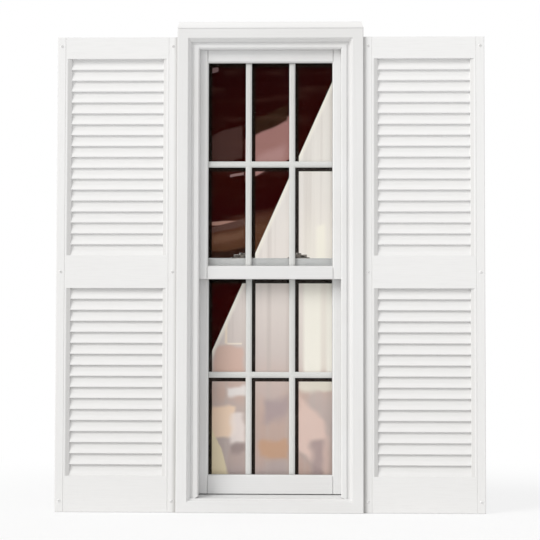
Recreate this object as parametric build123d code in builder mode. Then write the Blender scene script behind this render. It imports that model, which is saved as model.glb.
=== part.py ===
from build123d import *

import math
import os

# Pair of moulded louvred shutters, fixed beside the framed double-hung window
# that they dress. Millimetres. +X is right, +Z is up and -Y faces outdoors.
# Y = 0 is the face of the wall, X = 0 the middle of the window, and Z = 0 the
# lower edge of the casing and of both shutters.

# Shutter panel
SHUTTER_WIDTH = 381.0
SHUTTER_HEIGHT = 1499.0
SHUTTER_DEPTH = 28.0
SHUTTER_WALL = 2.8
SHUTTER_EDGE_RADIUS = 2.5
SHUTTER_GAP = 0.3  # the panels stand against the sides of the casing
RIM_INSET = 31.75  # from the shutter's edge to the rim of a louvre field
BEVEL_WIDTH = 12.5  # how far a field narrows from its rim to the louvre noses
FIELD_DRAFT = 0.08  # and then for each millimetre down to the louvre roots
SHUTTER_TOP_RAIL = 69.0
SHUTTER_MID_RAIL = 103.0
LOUVRE_PITCH = 34.67
UPPER_LOUVRES = 18
LOWER_LOUVRES = 17
LOUVRE_ROOT_DEPTH = 17.0
LOUVRE_NOSE_DEPTH = 6.0
LOUVRE_NOSE_RADIUS = 2.2
SCORE_INSET = 26.5  # moulded line along each stile
SCORE_WIDTH = 2.2
SCORE_DEPTH = 1.3

# Shutter screws
SCREW_EDGE_INSET = 14.0
SCREW_TOP_INSET = 29.0
SCREW_BOTTOM_INSET = 36.0
SCREW_HEAD_RADIUS = 4.8
SCREW_HEAD_HEIGHT = 3.0
SCREW_THREAD_RADIUS = 2.4  # in the wall
SCREW_NECK_RADIUS = 1.9  # through the panel
SCREW_REACH = 45.0  # past the wall's face
SCREW_HOLE_CLEARANCE = 0.4
SCREW_BOSS_WALL = 4.0

# Casing, a picture frame of brickmould round the window
CASING_WIDTH = 588.0
CASING_HEIGHT = 1528.0
CASING_FACE = 44.0
CASING_THICKNESS = 40.0
CASING_LAP = 14.0  # over the window frame
CASING_FLAT = 34.0
CASING_QUIRK = 2.2
CASING_EDGE_RADIUS = 3.0
OGEE_END = 6.0  # the ogee ends this far in front of the frame's face

# Drip cap over the head casing
CAP_HEIGHT = 20.0
CAP_OVERHANG = 2.0
CAP_LIP = 3.0
CAP_END_INSET = 1.5
CAP_HIP = 4.0

# Window frame
FRAME_FACE = 20.0  # in front of the wall's face
SIDE_REVEAL = 26.0  # frame seen between the casing and a jamb's opening
HEAD_REVEAL = 22.0
STOP_THICKNESS = 18.0
STOP_BEAD_RISE = 4.0
STOP_BEAD_DRAFT = 1.0
STOP_BEAD_SETBACK = 8.0
TRACK_DEPTH = 10.0
HEAD_TRACK_DEPTH = 8.0
PARTING_RIB = 2.0
PARTING_RIB_HEIGHT = 8.0
INNER_STOP = 8.0
FRAME_WALL = 3.0
SILL_RISE = 6.0
SILL_DAM = 12.0
JAMB_HOLE_RADIUS = 2.75
JAMB_HOLE_INSET = 220.0  # from the casing's inner edges, below and above
JAMB_HOLE_SETBACK = 29.5  # of the higher hole, from the lower sash's outdoor face

# Sashes
SASH_THICKNESS = 34.0
SASH_RUN = 2.0  # clearance in the tracks
STILE_WIDTH = 34.0
TOP_RAIL = 46.0
MEETING_RAIL = 41.0
MEETING_LEG = 25.0
CHECK_RAIL = 54.0
BOTTOM_RAIL = 59.0
SASH_SILL_GAP = 3.0
MEETING_HEIGHT = 800.0  # top of the lower sash
SASH_BEVEL = 4.0
SASH_WALL = 3.0
LIFT_REACH = 12.0
LIFT_THICKNESS = 4.0
LIFT_LIP = 5.0
LIFT_DROP = 14.0  # from the top of the bottom rail

# Glazing
GLASS_LIP = 6.0
GLASS_SETBACK = 8.0
PANE_THICKNESS = 3.0
GLASS_UNIT_DEPTH = 16.0
POCKET_DEPTH = 12.5
POCKET_CLEARANCE = 2.0
GASKET_SHOW = 1.6
GASKET_HIDE = 8.0
SPACER_WIDTH = 8.5
BAR_WIDTH = 19.0
BAR_THICKNESS = 8.0
BAR_FLAT = 9.0
BAR_EDGE = 3.0
LITES_ACROSS = 3
LITES_UP = 2
BLOCK_LENGTH = 60.0
BLOCK_DISTANCE = 100.0  # from the middle of the window

# Sash balances
GROOVE_WIDTH = 18.0
GROOVE_DEPTH = 17.0
TUBE_RADIUS = 7.0
TUBE_WALL = 1.0
TUBE_STANDOFF = 0.2
TUBE_DROP = 12.0  # below the top of the upper sash
TUBE_PLUG = 14.0
TRAVEL_STOP = 68.0  # each sash stops this far short of its room
ROD_RADIUS = 2.6
ROD_CLEARANCE = 0.3
ROD_END_GAP = 4.0  # under the tube's plug when the sash is highest
ROD_ENGAGEMENT = 22.0  # of the rod in the tube when the sash is lowest
ROD_FOOT = 10.0
FOOT_CLEARANCE = 1.0
FOOT_SIDE_CLEARANCE = 0.2
TUBE_SCREW_DROP = 7.0
TUBE_SCREW_RADIUS = 1.75
TUBE_SCREW_HEAD_RADIUS = 3.2
TUBE_SCREW_HEAD = 1.6
TUBE_SCREW_BITE = 12.0
PILOT_CLEARANCE = 0.05

# Cam locks and their keepers
LOCK_DISTANCE = 90.0  # from the middle of the window
PIVOT_SETBACK = 10.0
LOCK_LENGTH = 70.0
LOCK_PLATE = 3.0
LOCK_FRONT_SETBACK = 1.5
LOCK_DEPTH = 25.5
HOUSING_LENGTH = 52.0
HOUSING_WALL = 2.5
HOUSING_BLOCK = 16.0
COVER_THICKNESS = 3.0
COVER_RADIUS = 2.0
CAM_GAP = 1.0
CAM_THICKNESS = 4.0
CAM_COVER_GAP = 0.6
CAM_RADIUS = 24.5
CAM_BAND = 4.0
CAM_HALF_ANGLE = 35.0
CAM_WEB_WIDTH = 5.0
HUB_RADIUS = 6.5
SHAFT_RADIUS = 4.0
SHAFT_CLEARANCE = 0.05
ARM_GAP = 1.0
ARM_THICKNESS = 4.0
ARM_LENGTH = 34.0
ARM_HUB_RADIUS = 8.5
ARM_TIP_RADIUS = 5.5
ARM_TAB_RADIUS = 3.5
ARM_TAB_HEIGHT = 5.0
LOCK_SCREW_DISTANCE = 30.5  # from the middle of the lock
LOCK_SCREW_RADIUS = 2.0
LOCK_SCREW_HEAD_RADIUS = 3.5
LOCK_SCREW_HEAD = 1.8
LOCK_SCREW_LENGTH = 16.0
KEEPER_LENGTH = 46.0
KEEPER_PLATE = 2.2
KEEPER_DROP = 1.0  # of the keeper's seat below the top of the lower sash
KEEPER_LIP_RADIUS = 17.2
KEEPER_LIP = 2.7
KEEPER_HALF_ANGLE = 18.0
KEEPER_ROOF = 2.2
KEEPER_ROOF_LENGTH = 26.0
KEEPER_EDGE_GAP = 0.4
KEEPER_SCREW_DISTANCE = 18.5  # from the middle of the keeper
KEEPER_SCREW_RADIUS = 1.5
KEEPER_SCREW_HEAD_RADIUS = 2.8
KEEPER_SCREW_HEAD = 1.2
KEEPER_SCREW_LENGTH = 14.0

# Weatherstrips
SEAL_GAP = 0.3
SEAL_WIDTH = 10.0
PILE_WIDTH = 4.0
PILE_INSET = 2.0
MEETING_SEAL_HEIGHT = 6.0
MEETING_SEAL_DROP = 24.0

SLAB_MARGIN = 1.0  # how far cutting shapes run past a face
SAME_PLACE = 0.01  # corners nearer than this are on one line

# Places across, from the middle of the window
CASING_OUT = CASING_WIDTH / 2
CASING_IN = CASING_OUT - CASING_FACE
FRAME_OUT = CASING_IN + CASING_LAP
STOP_IN = CASING_IN - SIDE_REVEAL
TRACK_WALL = STOP_IN + TRACK_DEPTH
SASH_OUT = TRACK_WALL - SASH_RUN
SIGHT = SASH_OUT - STILE_WIDTH
SHUTTER_CENTRE = CASING_OUT + SHUTTER_GAP + SHUTTER_WIDTH / 2
TUBE_X = TRACK_WALL - TUBE_STANDOFF - TUBE_RADIUS

# Levels up
SILL_EDGE = CASING_FACE
FRAME_LOW = SILL_EDGE - CASING_LAP
SILL_SEAT = SILL_EDGE + SILL_RISE
HEAD_EDGE = CASING_HEIGHT - CASING_FACE
FRAME_HIGH = HEAD_EDGE + CASING_LAP
HEAD_STOP = HEAD_EDGE - HEAD_REVEAL
HEAD_TRACK = HEAD_STOP + HEAD_TRACK_DEPTH
LOWER_BOTTOM = SILL_SEAT + SASH_SILL_GAP
LOWER_TOP = MEETING_HEIGHT
UPPER_TOP = HEAD_TRACK - SASH_RUN
KEEPER_SEAT = LOWER_TOP - KEEPER_DROP
UPPER_BOTTOM = KEEPER_SEAT - MEETING_LEG - MEETING_RAIL
SASH_TRAVEL = min(UPPER_TOP - LOWER_TOP, UPPER_BOTTOM - LOWER_BOTTOM) - TRAVEL_STOP
TUBE_TOP = UPPER_TOP - TUBE_DROP
ROD_HIGH = TUBE_TOP - TUBE_PLUG - ROD_END_GAP
TUBE_LENGTH = TUBE_PLUG + ROD_END_GAP + SASH_TRAVEL + ROD_ENGAGEMENT

# Depths, positive into the wall
STOP_BACK = STOP_THICKNESS - FRAME_FACE
UPPER_Y = STOP_BACK + SASH_RUN
RIB_Y = UPPER_Y + SASH_THICKNESS + SASH_RUN
LOWER_Y = RIB_Y + PARTING_RIB + SASH_RUN
INNER_STOP_Y = LOWER_Y + SASH_THICKNESS + SASH_RUN
FRAME_BACK = INNER_STOP_Y + INNER_STOP
GROOVE_INSET = (SASH_THICKNESS - GROOVE_WIDTH) / 2
INNER_LIP = SASH_THICKNESS - GLASS_SETBACK - GLASS_UNIT_DEPTH
PIVOT_Y = LOWER_Y + PIVOT_SETBACK

UP = (0, 0, 1)
DOWN = (0, 0, -1)
SIDES = {"left": -1, "right": 1}

os.makedirs("parts", exist_ok=True)


def save(piece, label):
    """Name a finished piece and write it."""
    piece.part.label = label
    export_step(piece.part, f"parts/{label}.step")


def inward_plane(corner, inward):
    """Plane at an outer corner: x runs toward the opening and y into the wall."""
    return Plane(origin=corner, x_dir=inward, z_dir=Vector(*inward).cross(Vector(0, 1, 0)))


def depth_plane(depth):
    """Upright plane at a depth behind the wall's face; it looks outdoors."""
    return Plane.XZ.offset(-depth)


def closed_face(points):
    """Face inside straight lines through the points, in the current sketch."""
    Polygon(*points, align=None)


# Shutters


def louvre_steps(top, count, forward, drop):
    """Sawtooth of a louvre field as (y, z), from its top root down."""
    root = -SHUTTER_DEPTH + LOUVRE_ROOT_DEPTH + forward
    nose = -SHUTTER_DEPTH + LOUVRE_NOSE_DEPTH + forward
    steps = []
    for index in range(count):
        upper = top + drop - index * LOUVRE_PITCH
        steps.append((root, upper))
        steps.append((nose, upper - LOUVRE_PITCH))
    return steps


def field_prism(centre, low, high, wall):
    """Outline of a louvre field from above, grown by a wall: bevels, then drafted ends."""
    slope = BEVEL_WIDTH / LOUVRE_NOSE_DEPTH
    across_bevel = math.hypot(1, slope)
    across_end = math.hypot(1, FIELD_DRAFT)
    deeper = wall * (across_bevel - across_end) / (slope - FIELD_DRAFT)
    foot_depth = LOUVRE_NOSE_DEPTH + deeper
    foot = SHUTTER_WIDTH / 2 - RIM_INSET - BEVEL_WIDTH + wall * across_end - FIELD_DRAFT * deeper
    front = -SHUTTER_DEPTH - SLAB_MARGIN
    wide = foot + slope * (foot_depth + SLAB_MARGIN)
    narrow = foot - FIELD_DRAFT * (SHUTTER_DEPTH - foot_depth)
    with BuildPart() as prism:
        with BuildSketch(Plane.XY.offset(low)):
            closed_face(
                [
                    (centre - wide, front),
                    (centre + wide, front),
                    (centre + foot, foot_depth - SHUTTER_DEPTH),
                    (centre + narrow, 0),
                    (centre - narrow, 0),
                    (centre - foot, foot_depth - SHUTTER_DEPTH),
                ]
            )
        extrude(amount=high - low)
    return prism.part


def field_air(centre, top, count):
    """Space in front of a field's louvres, to be cut away."""
    steps = louvre_steps(top, count, 0, 0)
    bottom = steps[-1][1]
    nose = steps[-1][0]
    front = -SHUTTER_DEPTH - SLAB_MARGIN
    half = SHUTTER_WIDTH / 2
    prism = field_prism(centre, bottom - SLAB_MARGIN, top + SLAB_MARGIN, 0)
    with BuildPart() as air:
        with BuildSketch(Plane.YZ.offset(centre - half)) as section:
            closed_face([(front, top), *steps, (front, bottom)])
            noses = section.vertices().filter_by(
                lambda corner: abs(corner.X - nose) < SAME_PLACE and corner.Y > bottom + SAME_PLACE
            )
            fillet(noses, LOUVRE_NOSE_RADIUS)
        extrude(amount=2 * half)
        add(prism, mode=Mode.INTERSECT)
    return air.part


def field_skin(centre, top, count):
    """Block behind the louvre faces, down to the skin's back."""
    face_angle = math.atan2(LOUVRE_ROOT_DEPTH - LOUVRE_NOSE_DEPTH, LOUVRE_PITCH)
    forward = SHUTTER_WALL / math.cos(face_angle) + SHUTTER_WALL * math.tan(face_angle)
    steps = louvre_steps(top, count, forward, SHUTTER_WALL)
    bottom = top - count * LOUVRE_PITCH - SHUTTER_WALL
    front = -SHUTTER_DEPTH + SHUTTER_WALL / 2
    half = SHUTTER_WIDTH / 2
    prism = field_prism(centre, bottom - SLAB_MARGIN, top + 2 * SHUTTER_WALL, SHUTTER_WALL)
    with BuildPart() as skin:
        with BuildSketch(Plane.YZ.offset(centre - half)):
            closed_face([(front, top + SHUTTER_WALL), *steps, (steps[-1][0], bottom), (front, bottom)])
        extrude(amount=2 * half)
        add(prism, mode=Mode.INTERSECT)
    return skin.part


def shutter_screw_places(centre):
    """The six screw centres of a shutter as (x, z)."""
    across = SHUTTER_WIDTH / 2 - SCREW_EDGE_INSET
    upper_field = UPPER_LOUVRES * LOUVRE_PITCH
    middle = SHUTTER_HEIGHT - SHUTTER_TOP_RAIL - upper_field - SHUTTER_MID_RAIL / 2
    rows = (SCREW_BOTTOM_INSET, middle, SHUTTER_HEIGHT - SCREW_TOP_INSET)
    return [(centre + side * across, row) for side in (-1, 1) for row in rows]


def make_shutter(centre):
    """One moulded panel: rails, stiles and two louvre fields in one thin shell."""
    inner_depth = SHUTTER_DEPTH - SHUTTER_WALL
    upper_top = SHUTTER_HEIGHT - SHUTTER_TOP_RAIL
    lower_top = upper_top - UPPER_LOUVRES * LOUVRE_PITCH - SHUTTER_MID_RAIL
    fields = ((upper_top, UPPER_LOUVRES), (lower_top, LOWER_LOUVRES))
    skins = [field_skin(centre, top, count) for top, count in fields]
    spaces = [field_air(centre, top, count) for top, count in fields]
    places = shutter_screw_places(centre)
    hole = SCREW_THREAD_RADIUS + SCREW_HOLE_CLEARANCE
    with BuildPart() as panel:
        with BuildSketch(Plane.XZ):
            with Locations((centre, SHUTTER_HEIGHT / 2)):
                Rectangle(SHUTTER_WIDTH, SHUTTER_HEIGHT)
        extrude(amount=SHUTTER_DEPTH)
        fillet(panel.faces().sort_by(Axis.Y)[0].edges(), SHUTTER_EDGE_RADIUS)
        with BuildSketch(Plane.XZ):
            with Locations((centre, SHUTTER_HEIGHT / 2)):
                Rectangle(SHUTTER_WIDTH - 2 * SHUTTER_WALL, SHUTTER_HEIGHT - 2 * SHUTTER_WALL)
        extrude(amount=inner_depth, mode=Mode.SUBTRACT)
        with BuildSketch(Plane.XZ):
            with Locations(*places):
                Circle(hole + SCREW_BOSS_WALL)
        extrude(amount=inner_depth)
        for skin in skins:
            add(skin)
        for space in spaces:
            add(space, mode=Mode.SUBTRACT)
        with BuildSketch(Plane.XY):
            for side in (-1, 1):
                score = centre + side * (SHUTTER_WIDTH / 2 - SCORE_INSET)
                closed_face(
                    [
                        (score - SCORE_WIDTH / 2, -SHUTTER_DEPTH),
                        (score, -SHUTTER_DEPTH + SCORE_DEPTH),
                        (score + SCORE_WIDTH / 2, -SHUTTER_DEPTH),
                        (score, -SHUTTER_DEPTH - SLAB_MARGIN),
                    ]
                )
        extrude(amount=SHUTTER_HEIGHT, mode=Mode.SUBTRACT)
        with BuildSketch(Plane.XZ):
            with Locations(*places):
                Circle(hole)
        extrude(amount=SHUTTER_DEPTH, mode=Mode.SUBTRACT)
    return panel


def make_shutter_screws(centre):
    """Six painted screws through a shutter into the wall."""
    places = shutter_screw_places(centre)
    with BuildPart() as screws:
        with BuildSketch(Plane.XZ.offset(SHUTTER_DEPTH)):
            with Locations(*places):
                Circle(SCREW_HEAD_RADIUS)
        extrude(amount=SCREW_HEAD_HEIGHT)
        rims = screws.edges().filter_by(GeomType.CIRCLE).group_by(Axis.Y)[0]
        fillet(rims, SCREW_HEAD_HEIGHT / 2)
        with BuildSketch(Plane.XZ.offset(SHUTTER_DEPTH)):
            with Locations(*places):
                Circle(SCREW_NECK_RADIUS)
        extrude(amount=-SHUTTER_DEPTH)
        with BuildSketch(Plane.XZ):
            with Locations(*places):
                Circle(SCREW_THREAD_RADIUS)
        extrude(amount=-SCREW_REACH)
        tips = screws.edges().filter_by(GeomType.CIRCLE).group_by(Axis.Y)[-1]
        chamfer(tips, SCREW_THREAD_RADIUS / 2)
    return screws


# Casing, cap and window frame


def ring_corners(half, low, high):
    """Corners of an upright rectangle as (x, z), anticlockwise from lower left."""
    return [(-half, low), (half, low), (half, high), (-half, high)]


def mitre_outline(side, outer, inner):
    """The quarter of a ring of four mitred members that holds one side."""
    first, second = {"left": (0, 3), "right": (1, 2), "head": (3, 2), "bottom": (0, 1)}[side]
    return [outer[first], outer[second], inner[second], inner[first]]


def run_of(side, half, low, high):
    """Start plane and length of one member of a ring, seen from its outer corner."""
    if side == "left":
        return inward_plane((-half, 0, low), (1, 0, 0)), high - low
    if side == "right":
        return inward_plane((half, 0, high), (-1, 0, 0)), high - low
    if side == "head":
        return inward_plane((-half, 0, high), DOWN), 2 * half
    return inward_plane((half, 0, low), UP), 2 * half


def cut_to_mitre(outline):
    """Keep only what lies inside an upright outline."""
    reach = CASING_THICKNESS + FRAME_BACK
    with BuildSketch(Plane.XZ) as quarter:
        closed_face(outline)
    extrude(quarter.sketch, amount=reach, both=True, mode=Mode.INTERSECT)


def casing_section():
    """Brickmould: a flat, a quirk, an ogee, and a rebate that laps the frame."""
    flat_end = (CASING_FLAT, -CASING_THICKNESS)
    ogee_start = (CASING_FLAT, -CASING_THICKNESS + CASING_QUIRK)
    ogee_stop = (CASING_FACE, -FRAME_FACE - OGEE_END)
    swing = (CASING_FACE - CASING_FLAT) * 0.6
    with BuildLine() as outline:
        Line((0, 0), (0, -CASING_THICKNESS + CASING_EDGE_RADIUS))
        TangentArc(
            (0, -CASING_THICKNESS + CASING_EDGE_RADIUS),
            (CASING_EDGE_RADIUS, -CASING_THICKNESS),
            tangent=(0, -1),
        )
        Polyline((CASING_EDGE_RADIUS, -CASING_THICKNESS), flat_end, ogee_start)
        Bezier(
            ogee_start,
            (ogee_start[0] + swing, ogee_start[1]),
            (ogee_stop[0] - swing, ogee_stop[1]),
            ogee_stop,
        )
        Polyline(
            ogee_stop,
            (CASING_FACE, -FRAME_FACE),
            (CASING_FACE - CASING_LAP, -FRAME_FACE),
            (CASING_FACE - CASING_LAP, 0),
            (0, 0),
        )
    make_face(outline.edges())


def make_casing(side):
    """One mitred member of the casing."""
    plane, length = run_of(side, CASING_OUT, 0, CASING_HEIGHT)
    outer = ring_corners(CASING_OUT, 0, CASING_HEIGHT)
    inner = ring_corners(CASING_IN, SILL_EDGE, HEAD_EDGE)
    with BuildPart() as member:
        with BuildSketch(plane):
            casing_section()
        extrude(amount=length)
        cut_to_mitre(mitre_outline(side, outer, inner))
    return member


def make_drip_cap():
    """Rounded cap over the head casing, hipped at both ends."""
    front = -CASING_THICKNESS - CAP_OVERHANG
    top = CASING_HEIGHT + CAP_HEIGHT
    half = CASING_OUT - CAP_END_INSET
    round_end = (front + CAP_HEIGHT, top)
    with BuildPart() as cap:
        with BuildSketch(Plane.YZ.offset(-half)):
            with BuildLine():
                Polyline(
                    (0, top),
                    (0, CASING_HEIGHT),
                    (-CASING_THICKNESS, CASING_HEIGHT),
                    (-CASING_THICKNESS, CASING_HEIGHT - CAP_LIP),
                    (front, CASING_HEIGHT - CAP_LIP),
                    (front, CASING_HEIGHT),
                )
                TangentArc((front, CASING_HEIGHT), round_end, tangent=(0, 1))
                Line(round_end, (0, top))
            make_face()
        extrude(amount=2 * half)
        cut_to_mitre(
            [
                (-half, CASING_HEIGHT - CAP_LIP),
                (half, CASING_HEIGHT - CAP_LIP),
                (half - CAP_HIP, top),
                (-half + CAP_HIP, top),
            ]
        )
    return cap


def stop_section(reveal, track):
    """Jamb or head from above: outdoor stop, two tracks, a rib and an inner stop."""
    tip = CASING_LAP + reveal
    floor = tip - track
    rib = floor + PARTING_RIB_HEIGHT
    bead = CASING_LAP + STOP_BEAD_SETBACK
    closed_face(
        [
            (0, -FRAME_FACE),
            (bead, -FRAME_FACE),
            (bead + STOP_BEAD_DRAFT, -FRAME_FACE - STOP_BEAD_RISE),
            (tip - STOP_BEAD_RISE, -FRAME_FACE - STOP_BEAD_RISE),
            (tip, -FRAME_FACE),
            (tip, STOP_BACK),
            (floor, STOP_BACK),
            (floor, RIB_Y),
            (rib, RIB_Y),
            (rib, RIB_Y + PARTING_RIB),
            (floor, RIB_Y + PARTING_RIB),
            (floor, INNER_STOP_Y),
            (tip, INNER_STOP_Y),
            (tip, FRAME_BACK),
            (0, FRAME_BACK),
        ]
    )
    frame_chambers(floor, floor)


def frame_chambers(outer_thickness, inner_thickness):
    """Two hollows of a frame member, one behind the other with a web between."""
    web = RIB_Y + PARTING_RIB / 2
    hollows = (
        (outer_thickness, -FRAME_FACE + FRAME_WALL, web - FRAME_WALL / 2),
        (inner_thickness, web + FRAME_WALL / 2, FRAME_BACK - FRAME_WALL),
    )
    for thickness, front, back in hollows:
        with Locations((thickness / 2, (front + back) / 2)):
            Rectangle(thickness - 2 * FRAME_WALL, back - front, mode=Mode.SUBTRACT)


def sill_section():
    """Sill: a sloping nose, a flat seat for the lower sash and an inner dam."""
    seat = SILL_SEAT - FRAME_LOW
    dam = seat + SILL_DAM
    rib_back = RIB_Y + PARTING_RIB
    closed_face(
        [
            (0, -FRAME_FACE),
            (CASING_LAP, -FRAME_FACE),
            (seat, rib_back),
            (seat, INNER_STOP_Y),
            (dam, INNER_STOP_Y),
            (dam, FRAME_BACK),
            (0, FRAME_BACK),
        ]
    )
    frame_chambers(CASING_LAP, seat)


def jamb_hole_places():
    """Centres of a jamb's installation holes as (y, z)."""
    low = (UPPER_Y + SASH_THICKNESS / 2, SILL_EDGE + JAMB_HOLE_INSET)
    high = (LOWER_Y + JAMB_HOLE_SETBACK, HEAD_EDGE - JAMB_HOLE_INSET)
    return [low, high]


def make_frame_member(side):
    """One mitred member of the window frame, with its holes if it is a jamb."""
    plane, length = run_of(side, FRAME_OUT, FRAME_LOW, FRAME_HIGH)
    outer = ring_corners(FRAME_OUT, FRAME_LOW, FRAME_HIGH)
    inner = ring_corners(STOP_IN, SILL_SEAT, HEAD_STOP)
    outline = mitre_outline(side, outer, inner)
    if side == "bottom":
        dam_top = SILL_SEAT + SILL_DAM
        outline = outline[:3] + [(STOP_IN, dam_top), (-STOP_IN, dam_top)] + outline[3:]
    with BuildPart() as member:
        with BuildSketch(plane):
            if side == "bottom":
                sill_section()
            elif side == "head":
                stop_section(HEAD_REVEAL, HEAD_TRACK_DEPTH)
            else:
                stop_section(SIDE_REVEAL, TRACK_DEPTH)
        extrude(amount=length)
        cut_to_mitre(outline)
        if side in SIDES:
            with BuildSketch(Plane.XZ.offset(FRAME_FACE)):
                with Locations((0, SILL_EDGE / 2)):
                    Rectangle(2 * FRAME_OUT, SILL_EDGE)
            extrude(amount=STOP_BEAD_RISE, mode=Mode.SUBTRACT)
            with BuildSketch(Plane.YZ):
                with Locations(*tube_screw_places()):
                    Circle(TUBE_SCREW_RADIUS + PILOT_CLEARANCE)
            extrude(amount=SIDES[side] * (TRACK_WALL + 2 * FRAME_WALL), mode=Mode.SUBTRACT)
            with BuildSketch(Plane.YZ):
                with Locations(*jamb_hole_places()):
                    Circle(JAMB_HOLE_RADIUS)
            extrude(amount=SIDES[side] * FRAME_OUT, mode=Mode.SUBTRACT)
    return member


# Sashes


def stile_section(y0):
    """Stile from above: balance groove outside, glass pocket inside."""
    pocket = STILE_WIDTH - POCKET_DEPTH
    closed_face(
        [
            (0, y0),
            (STILE_WIDTH - SASH_BEVEL, y0),
            (STILE_WIDTH, y0 + SASH_BEVEL),
            (STILE_WIDTH, y0 + GLASS_LIP),
            (pocket, y0 + GLASS_LIP),
            (pocket, y0 + GLASS_SETBACK + GLASS_UNIT_DEPTH),
            (STILE_WIDTH, y0 + GLASS_SETBACK + GLASS_UNIT_DEPTH),
            (STILE_WIDTH, y0 + SASH_THICKNESS),
            (0, y0 + SASH_THICKNESS),
            (0, y0 + SASH_THICKNESS - GROOVE_INSET),
            (GROOVE_DEPTH, y0 + SASH_THICKNESS - GROOVE_INSET),
            (GROOVE_DEPTH, y0 + GROOVE_INSET),
            (0, y0 + GROOVE_INSET),
        ]
    )


def rail_section(height, y0, leg=0):
    """Rail from its outer edge to its glass pocket; a leg makes the inner lip taller."""
    pocket = height - POCKET_DEPTH
    closed_face(
        [
            (0, y0),
            (height - SASH_BEVEL, y0),
            (height, y0 + SASH_BEVEL),
            (height, y0 + GLASS_LIP),
            (pocket, y0 + GLASS_LIP),
            (pocket, y0 + GLASS_SETBACK + GLASS_UNIT_DEPTH),
            (height + leg, y0 + GLASS_SETBACK + GLASS_UNIT_DEPTH),
            (height + leg, y0 + SASH_THICKNESS),
            (0, y0 + SASH_THICKNESS),
        ]
    )
    with Locations((pocket / 2, y0 + SASH_THICKNESS / 2)):
        Rectangle(pocket - 2 * SASH_WALL, SASH_THICKNESS - 2 * SASH_WALL, mode=Mode.SUBTRACT)


def make_stile(side, y0, low, high):
    """A sash stile, full height."""
    if side == "left":
        plane = inward_plane((-SASH_OUT, 0, low), (1, 0, 0))
    else:
        plane = inward_plane((SASH_OUT, 0, high), (-1, 0, 0))
    with BuildPart() as stile:
        with BuildSketch(plane):
            stile_section(y0)
        extrude(amount=high - low)
    return stile


def make_top_rail():
    """Top rail of the upper sash, between its stiles."""
    with BuildPart() as rail:
        with BuildSketch(inward_plane((-SIGHT, 0, UPPER_TOP), DOWN)):
            rail_section(TOP_RAIL, UPPER_Y)
        extrude(amount=2 * SIGHT)
    return rail


def make_meeting_rail():
    """Bottom rail of the upper sash, with the taller inner leg for the keepers."""
    with BuildPart() as rail:
        with BuildSketch(inward_plane((SIGHT, 0, UPPER_BOTTOM), UP)):
            rail_section(MEETING_RAIL, UPPER_Y, MEETING_LEG)
        extrude(amount=2 * SIGHT)
        with BuildSketch(Plane.XY.offset(KEEPER_SEAT)):
            with Locations(*keeper_screw_places()):
                Circle(KEEPER_SCREW_RADIUS + PILOT_CLEARANCE)
        extrude(amount=-KEEPER_SCREW_LENGTH, mode=Mode.SUBTRACT)
    return rail


def make_check_rail():
    """Top rail of the lower sash, drilled for the lock screws."""
    with BuildPart() as rail:
        with BuildSketch(inward_plane((-SIGHT, 0, LOWER_TOP), DOWN)):
            rail_section(CHECK_RAIL, LOWER_Y)
        extrude(amount=2 * SIGHT)
        with BuildSketch(Plane.XY.offset(LOWER_TOP)):
            with Locations(*lock_screw_places()):
                Circle(LOCK_SCREW_RADIUS + PILOT_CLEARANCE)
        extrude(amount=-2 * SASH_WALL, mode=Mode.SUBTRACT)
    return rail


def make_bottom_rail():
    """Bottom rail of the lower sash, with a finger lift along its inner face."""
    back = LOWER_Y + SASH_THICKNESS
    ledge = BOTTOM_RAIL - LIFT_DROP
    lift = [
        (ledge, back),
        (ledge, back + LIFT_REACH),
        (ledge - LIFT_LIP, back + LIFT_REACH),
        (ledge - LIFT_LIP, back + LIFT_REACH - LIFT_THICKNESS),
        (ledge - LIFT_THICKNESS, back + LIFT_REACH - LIFT_THICKNESS),
        (ledge - LIFT_THICKNESS, back),
    ]
    with BuildPart() as rail:
        with BuildSketch(inward_plane((SIGHT, 0, LOWER_BOTTOM), UP)):
            rail_section(BOTTOM_RAIL, LOWER_Y)
            closed_face(lift)
        extrude(amount=2 * SIGHT)
    return rail


# Glazing


def make_slab(half, low, high, front, back, hole=0):
    """Upright plate between two depths, with a margin-wide border if it has a hole."""
    with BuildPart() as slab:
        with BuildSketch(depth_plane(back)):
            with Locations((0, (low + high) / 2)):
                Rectangle(2 * half, high - low)
                if hole:
                    Rectangle(2 * (half - hole), high - low - 2 * hole, mode=Mode.SUBTRACT)
        extrude(amount=back - front)
    return slab


def bar_outline(centre, y):
    """Contoured grille bar across its length."""
    flat, half, edge, deep = BAR_FLAT / 2, BAR_WIDTH / 2, BAR_EDGE / 2, BAR_THICKNESS / 2
    right = [(flat, -deep), (half, -edge), (half, edge), (flat, deep)]
    left = [(-across, depth) for across, depth in reversed(right)]
    return [(centre + across, y + depth) for across, depth in right + left]


def make_grille(y0, low, high):
    """Bars between the panes, end to end on the spacer."""
    middle = y0 + GLASS_SETBACK + GLASS_UNIT_DEPTH / 2
    half = SIGHT + POCKET_DEPTH - POCKET_CLEARANCE - SPACER_WIDTH
    reach = half - SIGHT
    lite = (2 * SIGHT - (LITES_ACROSS - 1) * BAR_WIDTH) / LITES_ACROSS
    rise = (high - low - (LITES_UP - 1) * BAR_WIDTH) / LITES_UP
    columns = [-SIGHT + (lite + BAR_WIDTH) * n - BAR_WIDTH / 2 for n in range(1, LITES_ACROSS)]
    rows = [low + (rise + BAR_WIDTH) * n - BAR_WIDTH / 2 for n in range(1, LITES_UP)]
    with BuildPart() as grille:
        with BuildSketch(Plane.XY.offset(low - reach)):
            for column in columns:
                closed_face(bar_outline(column, middle))
        extrude(amount=high - low + 2 * reach)
        with BuildSketch(Plane.YZ.offset(-half)):
            for row in rows:
                closed_face([(depth, across) for across, depth in bar_outline(row, middle)])
        extrude(amount=2 * half)
    return grille


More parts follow.
